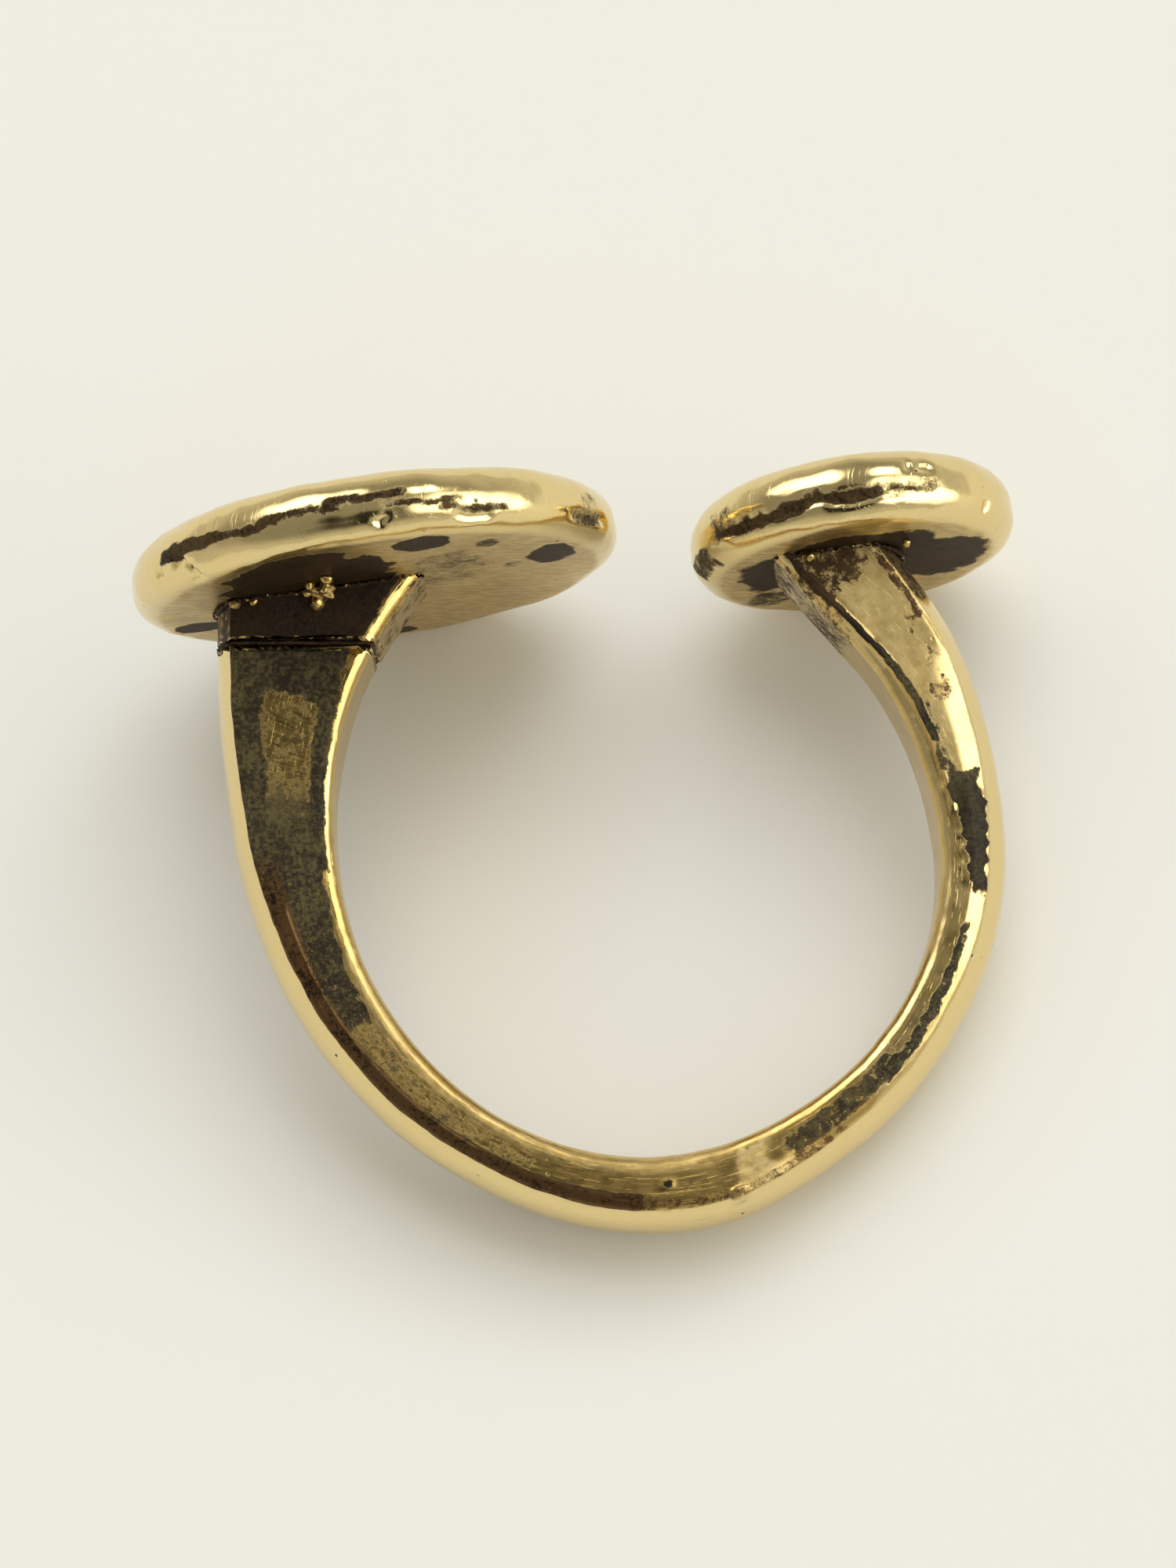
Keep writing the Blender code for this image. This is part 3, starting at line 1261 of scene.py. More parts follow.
@dataclass(frozen=True)
class Patterns:
    """Patterns that aged brass is mixed from, each from 0 to 1.

    Attributes:
        drift, speck, fleck, grit: noise, from broad to fine.
        strokes, scratches: noise drawn out along the tool marks.
        across: noise drawn out across them.
        gaps: broad noise that breaks up the painted highlight along the rubbed edge of a saw cut.
        pore: small casting pores.
    """

    drift: Socket
    speck: Socket
    fleck: Socket
    grit: Socket
    strokes: Socket
    scratches: Socket
    across: Socket
    gaps: Socket
    pore: Socket

    @classmethod
    def draw(cls, graph: Graph) -> "Patterns":
        """Draws the patterns, with millimetres as their unit.

        Args:
            graph: where they are drawn.

        Returns:
            The patterns.
        """
        in_mm = graph.node("ShaderNodeMapping")
        graph.feed(in_mm.inputs["Vector"], graph.node("ShaderNodeTexCoord").outputs["Object"])
        graph.feed(in_mm.inputs["Scale"], (1 / MM, 1 / MM, 1 / MM))
        place = in_mm.outputs["Vector"]
        along, over = (graph.maths("DIVIDE", graph.read(lay_name), MM) for lay_name in Lay)
        pores = graph.node("ShaderNodeTexVoronoi")
        graph.feed(pores.inputs["Vector"], place)
        graph.feed(pores.inputs["Scale"], 1.6)
        pore = graph.maths("SUBTRACT", 1.0, graph.span(pores.outputs["Distance"], 0.05, 0.11))
        return cls(
            drift=graph.cloud(place, 0.9, 5, 0.6),
            speck=graph.cloud(place, 4.0, 5, 0.65),
            fleck=graph.cloud(place, 8.0, 4, 0.7),
            grit=graph.cloud(place, 15.0, 3, 0.6),
            strokes=graph.stretched(along, over, place, 1.5, 6.5),
            scratches=graph.stretched(along, over, place, 0.5, 22.0),
            across=graph.stretched(over, along, place, 1.0, 9.0),
            gaps=graph.span(graph.cloud(place, 1.3, 2), 0.40, 0.58),
            pore=graph.maths("MULTIPLY", pore, graph.span(graph.cloud(place, 0.7, 2), 0.52, 0.62)),
        )


@dataclass(frozen=True)
class AgedBrass:
    """Turns the painted marks into the colour, gloss and relief of aged brass.

    Attributes:
        bright, satin, scraped: colours of polished, satin and scraped brass.
        soot, moss, rust: colours of its stains; they also colour the painted dark reflection on the large disc's
            rim.
        turns_dark: how much soot turns the brass dark.
        satin_rough, polished_rough: how rough satin and polished brass are.
        sooty_rough, rusty_rough: how rough soot and rust are.
        sooty_metal, rusty_metal: how metallic they are.
    """

    bright: Colour = (0.87, 0.69, 0.33)
    satin: Colour = (0.64, 0.44, 0.145)
    scraped: Colour = (0.88, 0.68, 0.31)
    soot: Colour = (0.017, 0.012, 0.008)
    moss: Colour = (0.115, 0.092, 0.036)
    rust: Colour = (0.14, 0.076, 0.030)
    turns_dark: float = 0.49
    satin_rough: float = 0.36
    polished_rough: float = 0.15
    sooty_rough: float = 0.52
    rusty_rough: float = 0.36
    sooty_metal: float = 0.3
    rusty_metal: float = 0.85

    def build(self) -> bpy.types.NodeTree:
        """Builds the node group.

        Returns:
            The group. Its inputs are the painted marks, how mottled the stains are and how softly they fade.
        """
        number = "NodeSocketFloat"
        tree = bpy.data.node_groups.new("aged_brass", "ShaderNodeTree")
        for label in (*(input_name(coat) for coat in Paint), "Mottle", "Fade"):
            tree.interface.new_socket(name=label, in_out="INPUT", socket_type=number)
        tree.interface.new_socket(name="Colour", in_out="OUTPUT", socket_type="NodeSocketColor")
        for label in ("Roughness", "Metallic", "Height"):
            tree.interface.new_socket(name=label, in_out="OUTPUT", socket_type=number)
        graph = Graph(tree)
        given = graph.node("NodeGroupInput").outputs
        seen = Patterns.draw(graph)
        # Painted highlight along the sawn edge: partly rubbed brass, partly standing in for the glint of the edge;
        # it clears the soot there and paints it pale.
        lip_highlight = graph.span(graph.sway(given["Inset"], seen.speck, 0.06), 0.03, 0.08)
        lip_highlight = graph.maths("SUBTRACT", 1.0, lip_highlight)
        lip_highlight = graph.maths("MULTIPLY", lip_highlight, seen.gaps)
        dark = self.dark(graph, given, seen, graph.maths("MULTIPLY", given["Soot"], graph.less(lip_highlight, 0.85)))
        # scuffed also takes in the painted highlight of the sawn edge.
        scuffed = graph.maths("MAXIMUM", given["Scuffed"], graph.maths("MULTIPLY", lip_highlight, 0.8))
        heavy = graph.span(given["Filed"], 0.7, 0.95)
        lines = graph.blend(heavy, seen.strokes, seen.across)
        colour = graph.tint(dark, self.clean(graph, given, seen, scuffed), self.stain_and_reflection_colour(graph, given, seen))
        film = graph.maths("MULTIPLY", given["Filed"], graph.span(lines, 0.62, 0.38))
        film = graph.maths("MAXIMUM", graph.maths("MULTIPLY", film, 0.75), graph.maths("MULTIPLY", heavy, 0.55))
        film = graph.maths("MULTIPLY", film, graph.less(dark, 0.85))
        colour = graph.tint(film, colour, graph.tint(0.35, self.moss, self.soot))
        shading = graph.tint(seen.grit, (0.4, 0.4, 0.4), (1.0, 1.0, 1.0))
        rough = graph.blend(given["Polish"], self.satin_rough, self.polished_rough)
        rough = graph.sway(rough, seen.speck, 0.14)
        rough = graph.maths("MULTIPLY_ADD", scuffed, 0.20, rough)
        dirt_rough = graph.blend(given["Rusty"], self.sooty_rough, self.rusty_rough)
        dirt_metal = graph.blend(given["Rusty"], self.sooty_metal, self.rusty_metal)
        results = {
            "Colour": graph.tint(0.25, colour, shading, "MULTIPLY"),
            "Roughness": graph.blend(dark, rough, dirt_rough),
            "Metallic": graph.blend(dark, 1.0, dirt_metal),
            "Height": self.relief(graph, given, seen, dark, lines),
        }
        result = graph.node("NodeGroupOutput").inputs
        for name, source in results.items():
            graph.feed(result[name], source)
        return tree

    def dark(self, graph: Graph, given: Given, seen: Patterns, soot: Socket) -> Socket:
        """Where the brass is dark: its stains, and the painted dark reflection on the large disc's rim.

        Args:
            graph: where the nodes go.
            given: the group's inputs.
            seen: the patterns.
            soot: how much soot there is, together with the painted dark reflection.

        Returns:
            A value from 0 to 1.
        """
        ragged = graph.sway(soot, seen.drift, 0.5)
        ragged = graph.sway(ragged, seen.speck, given["Mottle"])
        ragged = graph.sway(ragged, seen.strokes, 0.35)
        ragged = graph.sway(ragged, seen.grit, 0.35)
        starts = graph.maths("SUBTRACT", self.turns_dark, given["Fade"])
        ends = graph.maths("ADD", self.turns_dark, given["Fade"])
        darkened = graph.maths("MULTIPLY", graph.span(ragged, starts, ends), graph.span(soot, 0.03, 0.15))
        return graph.maths("MAXIMUM", darkened, seen.pore)

    def clean(self, graph: Graph, given: Given, seen: Patterns, scuffed: Socket) -> Socket:
        """Colour of the brass where it isn't stained.

        Args:
            graph: where the nodes go.
            given: the group's inputs.
            seen: the patterns.
            scuffed: how scraped it is, together with the painted highlight along the sawn edge.

        Returns:
            The colour.
        """
        toned = graph.span(graph.sway(given["Tan"], seen.drift, 0.7), 0.15, 0.85)
        scrapes = graph.maths("MULTIPLY", scuffed, graph.span(seen.speck, 0.3, 0.6))
        return graph.tint(scrapes, graph.tint(toned, self.bright, self.satin), self.scraped)

    def stain_and_reflection_colour(self, graph: Graph, given: Given, seen: Patterns) -> Socket:
        """Colour of the stains, and of the painted dark reflection on the large disc's rim.

        Args:
            graph: where the nodes go.
            given: the group's inputs.
            seen: the patterns.

        Returns:
            The colour.
        """
        patchy = graph.sway(graph.sway(seen.fleck, seen.drift, 0.7), seen.strokes, 0.35)
        mossy = graph.maths("MULTIPLY", given["Mossy"], graph.span(patchy, 0.36, 0.70))
        rusty = graph.maths("MULTIPLY", given["Rusty"], graph.span(patchy, 0.25, 0.60))
        return graph.tint(rusty, graph.tint(mossy, self.soot, self.moss), self.rust)

    def relief(self, graph: Graph, given: Given, seen: Patterns, dark: Socket, lines: Socket) -> Socket:
        """Height of the crust, the file lines, the scratches and the pores.

        Args:
            graph: where the nodes go.
            given: the group's inputs.
            seen: the patterns.
            dark: where the brass is dark, from stains and from the painted dark reflection.
            lines: the pattern of the file lines.

        Returns:
            The height, as a share of the finish's relief.
        """
        lumps = graph.maths("MULTIPLY_ADD", graph.maths("ADD", seen.grit, seen.speck), 0.8, -0.5)
        raised = graph.maths("MULTIPLY", dark, lumps)
        filed = graph.maths("MULTIPLY", given["Filed"], graph.maths("MULTIPLY", lines, 1.2))
        raised = graph.maths("ADD", raised, filed)
        raised = graph.maths("ADD", raised, graph.maths("MULTIPLY", seen.grit, 0.12))
        hair_depth = graph.blend(given["Polish"], 0.5, 0.22)
        hair = graph.maths("MULTIPLY", graph.span(seen.scratches, 0.60, 0.72), hair_depth)
        raised = graph.maths("SUBTRACT", raised, hair)
        return graph.maths("SUBTRACT", raised, graph.maths("MULTIPLY", seen.pore, 3.0))


@dataclass(frozen=True)
class BrassFinish:
    """A finish of aged brass for one kind of piece.

    Attributes:
        name: name of the material.
        slot: the record's material slot.
        mottle: how ragged its stains are.
        fade: how softly they fade.
        soot_sheen: how much its soot shines.
        relief: depth of its fine relief.
    """

    name: str
    slot: str
    mottle: float = 0.9
    fade: float = 0.13
    soot_sheen: float = 0.22
    relief: float = 0.010 * MM

    def build(self, ageing: bpy.types.NodeTree) -> bpy.types.Material:
        """Makes the material.

        Args:
            ageing: the node group of aged brass.

        Returns:
            The material.
        """
        material = bpy.data.materials.new(self.name)
        material.use_nodes = True
        graph = Graph(material.node_tree)
        shader = material.node_tree.nodes["Principled BSDF"].inputs
        shader["Specular IOR Level"].default_value = self.soot_sheen
        aged = graph.node("ShaderNodeGroup", node_tree=ageing)
        for coat in Paint:
            graph.feed(aged.inputs[input_name(coat)], graph.read(coat))
        graph.feed(aged.inputs["Mottle"], self.mottle)
        graph.feed(aged.inputs["Fade"], self.fade)
        relief = graph.node("ShaderNodeBump")
        graph.feed(relief.inputs["Distance"], self.relief)
        graph.feed(relief.inputs["Height"], aged.outputs["Height"])
        graph.feed(shader["Base Color"], aged.outputs["Colour"])
        graph.feed(shader["Roughness"], aged.outputs["Roughness"])
        graph.feed(shader["Metallic"], aged.outputs["Metallic"])
        graph.feed(shader["Normal"], relief.outputs["Normal"])
        return material


# The ring

SHANK_WIDTH = 3.2 * MM
SHOULDER_STEP = 0.1 * MM
LARGE_RADIUS = 6.98 * MM
SMALL_RADIUS = 4.65 * MM
FRONT_OPENING = 1.9 * MM
OPENING_OFFSET = 1.78 * MM
LARGE_ALONG = OPENING_OFFSET - FRONT_OPENING / 2 - LARGE_RADIUS
SMALL_ALONG = OPENING_OFFSET + FRONT_OPENING / 2 + SMALL_RADIUS
LARGE_THICKNESS = 2.0 * MM
SMALL_THICKNESS = 2.2 * MM
UP = Vector((0, 1, 0))


EVERY_POLISH = (
    BandMark(-170, 170, 0.0, 1.6, 1.0, surface=Surface.OUTSIDE, ragged=0.0),
    BandMark(-170, 170, -0.4, 0.5, 0.7, surface=Surface.INSIDE, ragged=0.0),
    BandMark(-170, 170, -0.3, 0.12, 1.0, ragged=0.0),
)


SHANK_COATS: dict[Paint, Sequence[BandMark]] = {
    Paint.SOOT: (
        BandMark(-160, -117, 0.14, 1.0, 1.0, soft=5, ragged=0.6),
        BandMark(-118, -88, 0.14, 0.16, 0.85, soft=4, outer_end=0.24, soft_rise=0.14, ragged=0.3),
        BandMark(-118, -88, 0.82, 1.0, 0.85, soft=4, soft_rise=0.30, ragged=0.5),
        BandMark(-98, -84, 0.20, 0.80, 0.62, soft=12, ragged=0.8),
        BandMark(-122, -84, 0.16, 1.0, 0.38, soft=5, soft_rise=0.1, ragged=0.3),
        BandMark(-94, -60, 0.19, 1.0, 0.72, soft=9, outer_end=0.8, inner_end=0.34),
        BandMark(-62, -22, 0.36, 0.74, 0.45, soft=9, ragged=1.5),
        BandMark(-84, -2, 0.79, 1.05, 0.90, soft=8, inner_end=0.74, soft_rise=0.10, ragged=0.25),
        BandMark(-5, 36, 0.84, 1.0, 0.50, soft=8, ragged=0.4),
        BandMark(28, 50, 0.38, 0.74, 0.62, soft=6, soft_rise=0.2, ragged=0.3),
        BandMark(
            48, 77, 0.56, 0.80, 0.70,
            soft=3, inner_end=0.62, outer_end=0.68, soft_rise=0.16, ragged=0.3, combed=0.2,
        ),
        BandMark(
            85, 103, 0.64, 0.84, 1.05,
            soft=3, inner_end=0.42, outer_end=0.82, soft_rise=0.18, ragged=0.9, combed=0.4,
        ),
        BandMark(
            103, 118, 0.36, 0.50, 0.56, soft=3, inner_end=0.26, outer_end=0.40, soft_rise=0.1, ragged=1.0
        ),
        BandMark(
            112, 152, 0.27, 0.36, 0.95, soft=3, inner_end=0.06, outer_end=0.09, soft_rise=0.04, ragged=0.4
        ),
        BandMark(130, 150, 0.90, 1.05, 0.60, soft=3, ragged=0.5),
        BandMark(118, 123, 0.55, 0.85, 0.50, soft=2, ragged=2.0),
        BandMark(128, 134, 0.60, 0.90, 0.44, soft=3, ragged=2.0),
        BandMark(144, 160, 0.05, 1.0, 0.60, soft=4),
        BandMark(134, 160, 0.4, 1.3, 0.50, surface=Surface.OUTSIDE, soft=5),
        BandMark(138, 160, -0.4, 0.5, 0.50, surface=Surface.INSIDE, soft=6),
        BandMark(-160, -130, 0.4, 1.3, 0.55, surface=Surface.OUTSIDE, soft=4),
        BandMark(-160, -134, -0.4, 0.5, 0.35, surface=Surface.INSIDE, soft=3),
        BandMark(4.7, 5.1, 0.50, 0.56, 0.62, soft=1.6, soft_rise=0.14, ragged=0.6),
    ),
    Paint.MOSSY: (
        BandMark(-118, -20, 0.0, 1.0, 1.0, soft=14, ragged=0.0),
        BandMark(28, 80, 0.0, 1.0, 0.9, soft=4, ragged=0.0),
        BandMark(84, 104, 0.0, 1.0, 0.35, soft=4, ragged=0.0),
        BandMark(104, 128, 0.0, 1.0, 0.7, soft=4, ragged=0.0),
    ),
    Paint.RUSTY: (
        BandMark(-84, -2, 0.75, 1.08, 1.0, soft=8, ragged=0.1),
        BandMark(-5, 42, 0.8, 1.0, 1.0, soft=8, ragged=0.4),
        BandMark(112, 170, 0.5, 1.2, 0.6, surface=Surface.ALL, soft=6, ragged=0.0),
        BandMark(142, 170, -0.4, 0.5, 0.35, surface=Surface.ALL, soft=6, ragged=0.0),
    ),
    Paint.TAN: (
        BandMark(-160, 40, 0.05, 1.0, 1.0, soft=10, ragged=0.2),
        BandMark(40, 160, 0.05, 1.0, 0.55, soft=10, ragged=0.2),
        BandMark(-170, 170, -0.4, 0.5, 0.5, surface=Surface.INSIDE, ragged=0.0),
    ),
    Paint.POLISH: EVERY_POLISH
    + (
        BandMark(-170, 40, 0.0, 1.0, 0.35, soft=12, ragged=0.0),
        BandMark(40, 170, 0.0, 1.0, 0.6, soft=12, ragged=0.0),
        BandMark(34, 120, 0.66, 1.3, 1.0, soft=8, ragged=0.0),
    ),
    Paint.FILED: (
        BandMark(-122, -88, 0.10, 0.95, 1.0, soft=5, ragged=0.3),
        BandMark(-90, -10, 0.25, 0.8, 0.65, soft=10),
        BandMark(-10, 60, 0.1, 1.0, 0.25, soft=10),
    ),
    Paint.SCUFFED: (
        BandMark(16, 23, 0.25, 1.0, 0.95, soft=2, ragged=1.6, combed=0.4),
        # Paler scraped tone on the right arm's upper side, partly a painted highlight for that side, which catches
        # more light.
        BandMark(104, 144, 0.3, 0.95, 0.6, soft=5, ragged=0.3),
        BandMark(-66, 10, 0.05, 0.3, 0.45, soft=10, ragged=0.4),
    ),
}


def make_shank() -> BandPiece:
    """Describes the shank.

    Returns:
        The shank, with its marks.
    """
    return BandPiece(
        name="shank_band",
        first=-150,
        last=160,
        width=SHANK_WIDTH,
        lip_highlight=SEAM_HEIGHT,
        coats=SHANK_COATS,
        dents=(
            BandMark(
                100, 150, 0.30, 0.36, 0.09 * MM, inner_end=0.06, outer_end=0.10, soft_rise=0.05, ragged=0.15
            ),
            BandMark(-80, -30, 0.77, 0.78, 0.03 * MM, soft_rise=0.02, ragged=0.1),
            BandMark(4.5, 5.3, 0.49, 0.57, 0.03 * MM, soft=1.2, soft_rise=0.12, ragged=0.2),
            BandMark(
                15.6, 17.4, 0.86, 1.05, 0.10 * MM, soft=0.7, soft_rise=0.05, ragged=0.3, surface=Surface.ALL
            ),
            BandMark(86, 102, 0.42, 0.88, 0.03 * MM, ragged=0.7, combed=0.6),
        ),
        ridges=(
            BandMark(104, 152, 0.02, 0.24, 0.05 * MM, outer_end=0.05, soft_rise=0.05, ragged=0.15),
            BandMark(126, 148, 0.96, 1.02, 0.05 * MM, soft_rise=0.03, ragged=0.15),
        ),
    )


SHOULDER_COATS: dict[Paint, Sequence[BandMark]] = {
    Paint.SOOT: (
        BandMark(-160, -90, 0.11, 1.0, 1.1, ragged=0.2),
        BandMark(-160, -90, 0.4, 1.3, 0.60, surface=Surface.OUTSIDE),
        BandMark(-160, -90, -0.4, 0.5, 0.45, surface=Surface.INSIDE),
    ),
    Paint.RUSTY: (BandMark(-160, -90, -0.4, 1.6, 0.2, surface=Surface.ALL),),
    Paint.TAN: (BandMark(-160, -90, -0.4, 1.6, 0.8, surface=Surface.ALL),),
    Paint.POLISH: EVERY_POLISH,
}


def make_shoulder() -> BandPiece:
    """Describes the block between the shank and the large disc.

    Returns:
        The block, with its marks.
    """
    return BandPiece(
        name="shoulder_block_bar",
        first=-152,
        last=-104,
        width=SHANK_WIDTH + 2 * SHOULDER_STEP,
        lip_highlight=SEAM_HEIGHT + JOINT_GAP,
        along_cuts=2,
        coats=SHOULDER_COATS,
    )


def make_large_disc() -> Disc:
    """Describes the large disc.

    Returns:
        The disc, with its marks.
    """
    return Disc(
        "large_disc_blank",
        LARGE_RADIUS,
        LARGE_THICKNESS,
        LARGE_SEAT,
        LARGE_ALONG,
        seed=3,
        underside_soot=(
            DiscMark(-1.8 * MM, 2.5 * MM, 4.7 * MM, 6.4 * MM, 1.0, soft=0.10),
            DiscMark(1.4 * MM, 5.3 * MM, 1.7 * MM, 1.5 * MM, 0.9, soft=0.2),
            DiscMark(5.0 * MM, 1.9 * MM, 1.4 * MM, 2.2 * MM, 0.85, soft=0.2),
            DiscMark(3.2 * MM, 4.3 * MM, 0.7 * MM, 1.0 * MM, 0.6),
            DiscMark(3.9 * MM, 1.2 * MM, 0.6 * MM, 0.9 * MM, 0.55),
            DiscMark(2.0 * MM, 2.0 * MM, 2.8 * MM, 4.4 * MM, 0.47),
            DiscMark(-5.2 * MM, -1.4 * MM, 1.5 * MM, 1.2 * MM, 0.95, soft=0.2),
            DiscMark(0.5 * MM, -5.6 * MM, 0.9 * MM, 1.0 * MM, 0.8, soft=0.2),
            DiscMark(-1.8 * MM, -1.0 * MM, 5.0 * MM, 4.6 * MM, 0.9, soft=0.15),
        ),
        # The first five rim marks paint a dark wavy line along the rim, a painted reflection of the dark overhead;
        # the rest are stains.
        rim_soot_and_reflection=(
            RimMark(128, 146, 0.44, 0.56, 0.85),
            RimMark(112, 130, 0.42, 0.50, 0.70),
            RimMark(97, 114, 0.46, 0.54, 0.72),
            RimMark(82, 99, 0.54, 0.62, 0.75),
            RimMark(70, 84, 0.40, 0.44, 0.66),
            RimMark(56, 72, 0.30, 0.34, 0.62),
            RimMark(22, 31, 0.24, 0.36, 0.62),
            RimMark(25, 29, 0.40, 0.60, 0.42),
        ),
        rim_pits=(
            RimMark(148, 149, 0.30, 0.33, 0.12 * MM),
            RimMark(139, 141, 0.34, 0.38, 0.12 * MM),
            RimMark(137, 138, 0.22, 0.25, 0.10 * MM),
            RimMark(136, 137.5, 0.10, 0.14, 0.10 * MM),
            RimMark(86, 88, 0.18, 0.22, 0.10 * MM),
            RimMark(20, 34, 0.28, 0.34, 0.12 * MM),
            RimMark(60, 68, 0.20, 0.24, 0.08 * MM),
        ),
    )


def make_small_disc() -> Disc:
    """Describes the small disc.

    Returns:
        The disc, with its marks.
    """
    return Disc(
        "small_disc_blank",
        SMALL_RADIUS,
        SMALL_THICKNESS,
        SMALL_SEAT,
        SMALL_ALONG,
        seed=6,
        segments=300,
        rings=28,
        underside_soot=(
            DiscMark(-1.8 * MM, 0.4 * MM, 3.6 * MM, 3.4 * MM, 0.85, soft=0.25),
            DiscMark(0.1 * MM, 1.7 * MM, 4.6 * MM, 2.8 * MM, 0.95, soft=0.2),
            DiscMark(2.3 * MM, 0.2 * MM, 3.0 * MM, 3.6 * MM, 0.85, soft=0.2),
            DiscMark(-2.4 * MM, -2.0 * MM, 1.6 * MM, 1.4 * MM, 0.6),
        ),
        rim_soot_and_reflection=(
            RimMark(112, 146, 0.26, 0.34, 0.80),
            RimMark(84, 116, 0.30, 0.42, 0.80),
            RimMark(60, 84, 0.38, 0.46, 0.62),
            RimMark(140, 152, 0.40, 0.62, 0.50),
            RimMark(160, 185, 0.10, 0.30, 0.60),
        ),
        rim_pits=(
            RimMark(84, 140, 0.28, 0.34, 0.10 * MM),
            RimMark(64, 66, 0.60, 0.64, 0.08 * MM),
            RimMark(70, 71.5, 0.66, 0.70, 0.08 * MM),
            RimMark(120, 121.5, 0.42, 0.46, 0.08 * MM),
            RimMark(36, 38, 0.20, 0.26, 0.09 * MM),
        ),
    )


def make_solder() -> tuple[SolderBead, ...]:
    """Describes the solder in the three joints.

    Returns:
        A bead for each joint.
    """
    return (
        SolderBead("shoulder_solder", ("shank", "shoulder_block"), shrink=0.8, lumps=0.03 * MM),
        SolderBead(
            "large_disc_solder",
            ("shoulder_block", "large_disc"),
            nuggets=(
                Nugget((-8.9 * MM, 7.42 * MM, 1.85 * MM), 0.26 * MM),
                Nugget((-8.7 * MM, 7.40 * MM, 2.25 * MM), 0.22 * MM),
                Nugget((-9.0 * MM, 7.10 * MM, 1.75 * MM), 0.20 * MM),
                Nugget((-9.15 * MM, 7.46 * MM, 2.60 * MM), 0.13 * MM),
                Nugget((-8.7 * MM, 7.54 * MM, 2.95 * MM), 0.15 * MM),
                Nugget((-9.3 * MM, 7.35 * MM, 1.80 * MM), 0.12 * MM),
                Nugget((-11.3 * MM, 7.08 * MM, 1.80 * MM), 0.14 * MM),
                Nugget((-10.8 * MM, 7.15 * MM, 1.85 * MM), 0.12 * MM),
            ),
        ),
        SolderBead(
            "small_disc_solder",
            ("shank", "small_disc"),
            nuggets=(
                Nugget((4.9 * MM, 8.45 * MM, 1.75 * MM), 0.12 * MM),
                Nugget((7.6 * MM, 8.85 * MM, 1.75 * MM), 0.12 * MM),
            ),
        ),
    )


def build_ring() -> None:
    """Builds every piece of the ring and lays it where the CAD ring lies."""
    ageing = AgedBrass().build()
    finishes = (
        BrassFinish("worn_shank_brass", "shank_brass"),
        BrassFinish(
            "polished_disc_brass", "disc_brass", mottle=0.6, fade=0.18, relief=0.008 * MM, soot_sheen=0.04
        ),
        BrassFinish("dark_solder", "solder", mottle=0.8, relief=0.02 * MM, soot_sheen=0.1),
    )
    materials = {finish.slot: finish.build(ageing) for finish in finishes}
    place = ring_to_table(LARGE_ALONG, LARGE_THICKNESS)
    small_end = (SMALL_SEAT.below(-GRIP), SMALL_SEAT.normal, Arm.RIGHT)
    large_end = (LARGE_SEAT.below(-GRIP), LARGE_SEAT.normal, Arm.LEFT)
    shank = make_shank().build(((UP * SEAM_HEIGHT, UP, Arm.LEFT), small_end))
    shoulder = make_shoulder().build(((UP * (SEAM_HEIGHT + JOINT_GAP), -UP, Arm.LEFT), large_end))
    for piece, slot, node in (
        (shank, "shank_brass", "shank"),
        (shoulder, "shank_brass", "shoulder_block"),
        (make_large_disc().build(), "disc_brass", "large_disc"),
        (make_small_disc().build(), "disc_brass", "small_disc"),
    ):
        lay(piece, place)
        settle(piece, materials[slot], node)
    for solder in make_solder():
        settle(solder.build(place), materials["solder"], solder.node)


# Studio


def direction(azimuth: float, elevation: float) -> Vector:
    """The way from the ring to something round it.

    Args:
        azimuth: 0 at +Y and positive towards +X.
        elevation: height over the table.

    Returns:
        A vector of length 1.
    """
    turn, rise = math.radians(azimuth), math.radians(elevation)
    return Vector((math.sin(turn) * math.cos(rise), math.cos(turn) * math.cos(rise), math.sin(rise)))


@dataclass(frozen=True)
class Softbox:
    """A soft rectangular light that faces the ring.

    Attributes:
        name: name of the light.
        azimuth, elevation: where it stands.
        distance: how far off it is.
        size: its width and height.
        power: its power in watts.
        colour: its colour.
    """

    name: str
    azimuth: float
    elevation: float
    distance: float
    size: tuple[float, float]
    power: float
    colour: Colour = (0.89, 0.93, 1.0)

    def build(self) -> None:
        """Hangs the light."""
        light = bpy.data.lights.new(self.name, "AREA")
        light.shape = "RECTANGLE"
        light.size, light.size_y = self.size
        light.energy = self.power
        light.color = self.colour
        lamp = bpy.data.objects.new(self.name, light)
        bpy.context.scene.collection.objects.link(lamp)
        way = direction(self.azimuth, self.elevation)
        lamp.location = way * self.distance
        lamp.rotation_euler = way.to_track_quat("Z", "Y").to_euler()
        lamp.visible_glossy = False


@dataclass(frozen=True)
class Patch:
    """A soft-edged patch of the room, bright or dark, that polished brass reflects.

    Attributes:
        azimuth, elevation: where it is.
        core, reach: angles from its middle at which it starts to fade and has gone.
        colour: its brightness and colour.
    """

    azimuth: float
    elevation: float
    core: float
    reach: float
    colour: Colour

    def share(self, graph: Graph, way: Socket) -> Socket:
        """How much of the patch is seen.

        Args:
            graph: where the nodes go.
            way: the way that is looked.

        Returns:
            1 in its core, falling smoothly to 0 at its reach.
        """
        dot = graph.node("ShaderNodeVectorMath", operation="DOT_PRODUCT")
        graph.feed(dot.inputs[0], way)
        graph.feed(dot.inputs[1], direction(self.azimuth, self.elevation))
        gone, full = math.cos(math.radians(self.reach)), math.cos(math.radians(self.core))
        return graph.span(dot.outputs["Value"], gone, full)


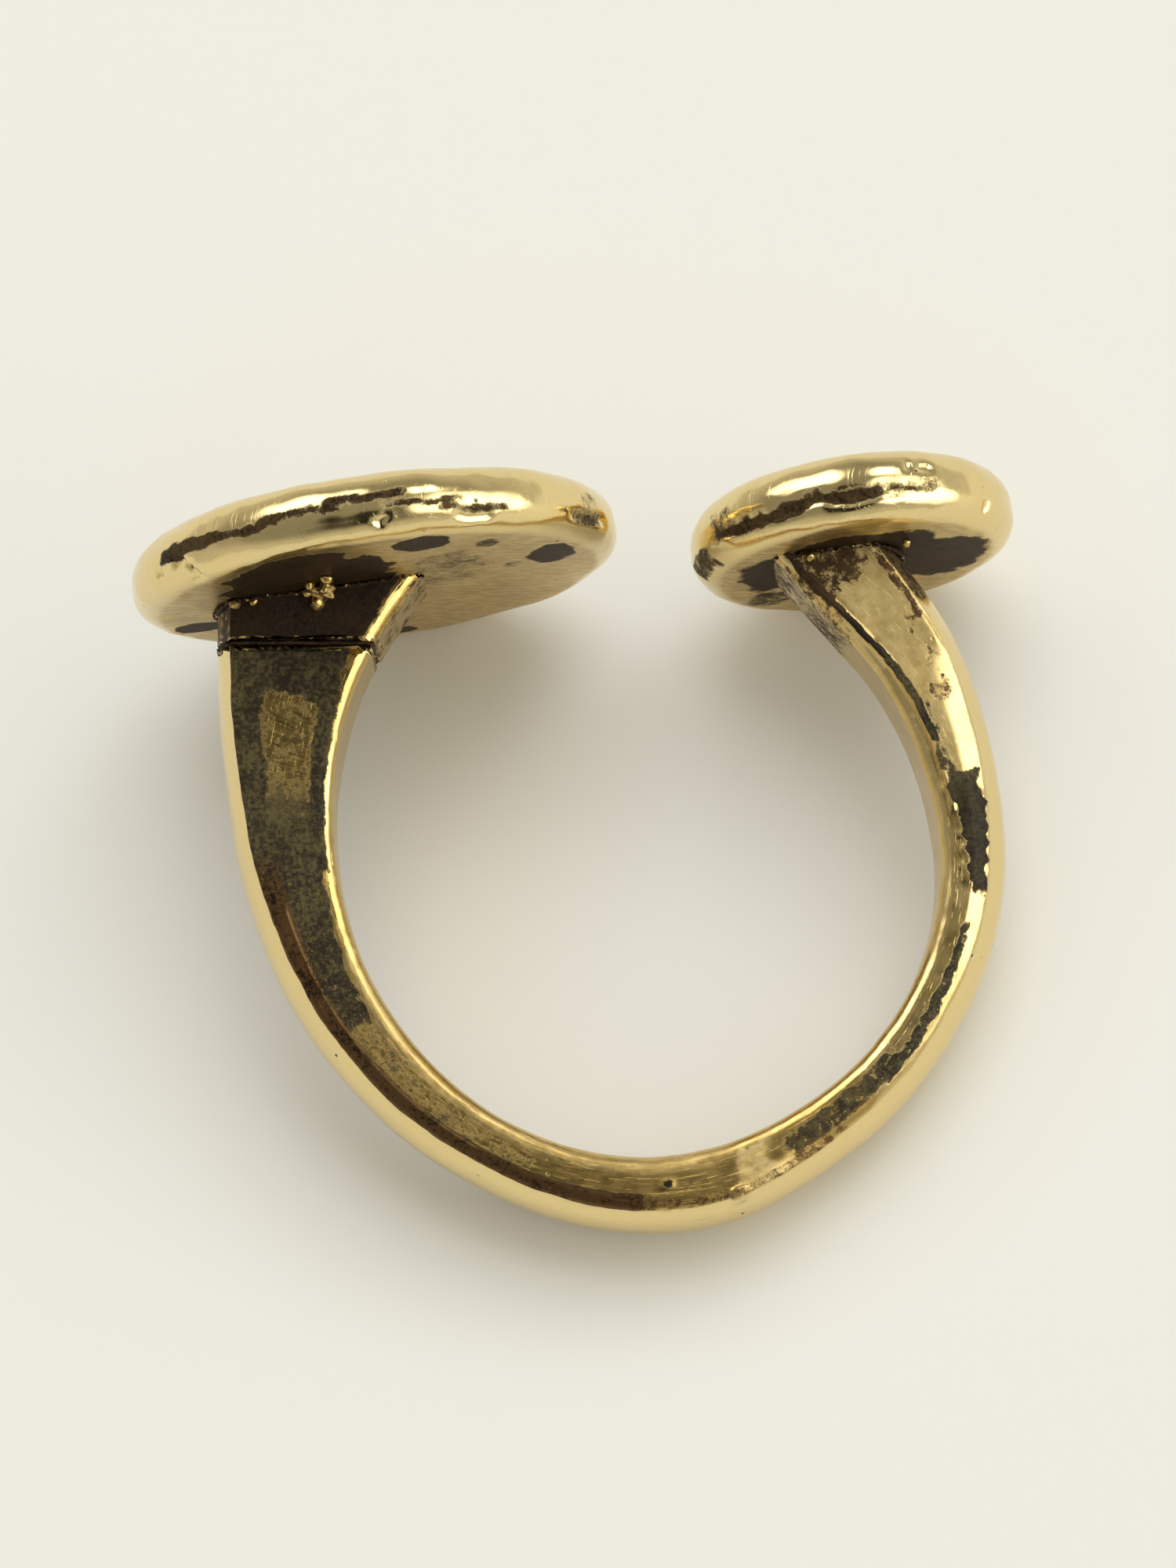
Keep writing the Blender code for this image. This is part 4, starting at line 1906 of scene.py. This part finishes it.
@dataclass(frozen=True)
class Studio:
    """Pale floor, soft light and the camera.

    Attributes:
        view_distance: distance of the camera from the ring.
        view_lean: how far the camera leans from the ring's axis towards the foot of the shank.
        aim: the point of the ring's plane that it looks at.
        lens: its focal length in millimetres.
        floor_size, floor_colour, floor_roughness: side and looks of the floor.
        horizon, ceiling: brightness of the room, low down and overhead.
        fill: even light that falls on matt surfaces from all round.
        onlooker: the dark of whoever is looking.
        windows: the bright patches of the room.
    """

    view_distance: float = 0.14
    view_lean: float = 10.0
    aim: tuple[float, float] = (-1.38 * MM, 2.25 * MM)
    lens: float = 113.4
    floor_size: float = 1.6
    floor_colour: Colour = (0.80, 0.80, 0.76)
    floor_roughness: float = 0.75
    horizon: Colour = (0.62, 0.60, 0.54)
    ceiling: Colour = (0.30, 0.29, 0.26)
    fill: Colour = (0.62, 0.585, 0.51)
    onlooker: tuple[Patch, ...] = (
        Patch(azimuth=163, elevation=66, core=14, reach=22, colour=(0.02, 0.018, 0.014)),
        Patch(azimuth=172, elevation=44, core=7, reach=20, colour=(0.02, 0.018, 0.014)),
    )
    windows: tuple[Patch, ...] = (
        Patch(azimuth=98, elevation=34, core=18, reach=37, colour=(3.4, 3.35, 3.1)),
        Patch(azimuth=-38, elevation=50, core=12, reach=26, colour=(3.5, 3.4, 3.15)),
        Patch(azimuth=38, elevation=48, core=5, reach=13, colour=(4.0, 3.9, 3.6)),
    )

    def build(self) -> None:
        """Sets up the floor, the lights, the sky and the camera."""
        self.build_floor()
        self.build_sky()
        Softbox("top_light", azimuth=24, elevation=60, distance=0.9, size=(0.75, 0.75), power=4.2).build()
        self.build_camera()
        bpy.context.scene.view_settings.view_transform = "Standard"

    def build_floor(self) -> None:
        """A plain pale floor."""
        start_fresh()
        bpy.ops.mesh.primitive_plane_add(size=self.floor_size)
        floor = bpy.context.object
        floor.name = "floor"
        material = bpy.data.materials.new("pale_floor")
        material.use_nodes = True
        shader = material.node_tree.nodes["Principled BSDF"].inputs
        shader["Base Color"].default_value = (*self.floor_colour, 1.0)
        shader["Roughness"].default_value = self.floor_roughness
        floor.data.materials.append(material)

    def build_sky(self) -> None:
        """A soft room: a dim ceiling, a pale horizon, bright windows and the dark of whoever is looking."""
        world = bpy.data.worlds.new("studio")
        world.use_nodes = True
        bpy.context.scene.world = world
        graph = Graph(world.node_tree)
        background = world.node_tree.nodes["Background"]
        way = graph.node("ShaderNodeTexCoord").outputs["Generated"]
        apart = graph.node("ShaderNodeSeparateXYZ")
        graph.feed(apart.inputs[0], way)
        colour = graph.tint(graph.span(apart.outputs["Z"], 0.1, 0.6), self.horizon, self.ceiling)
        for patch in (*self.onlooker, *self.windows):
            colour = graph.tint(patch.share(graph, way), colour, patch.colour)
        diffuse = graph.node("ShaderNodeLightPath").outputs["Is Diffuse Ray"]
        graph.feed(background.inputs["Color"], graph.tint(diffuse, colour, self.fill))

    def build_camera(self) -> None:
        """The camera, placed in the ring's own frame."""
        lean = math.radians(self.view_lean)
        aim = Vector((*self.aim, 0))
        back = Vector((0, -math.sin(lean), math.cos(lean)))
        right = UP.cross(back).normalized()
        axes = Matrix((right, back.cross(right), back)).transposed().to_4x4()
        data = bpy.data.cameras.new("camera")
        data.lens = self.lens
        data.clip_start = 0.01
        camera = bpy.data.objects.new("camera", data)
        bpy.context.scene.collection.objects.link(camera)
        place = ring_to_table(LARGE_ALONG, LARGE_THICKNESS)
        camera.matrix_world = place @ Matrix.Translation(aim + back * self.view_distance) @ axes
        bpy.context.scene.camera = camera


def main() -> None:
    """Builds the ring and the studio."""
    logging.basicConfig(level=logging.INFO, format="%(name)s %(message)s")
    build_ring()
    Studio().build()


if __name__ == "__main__":
    main()
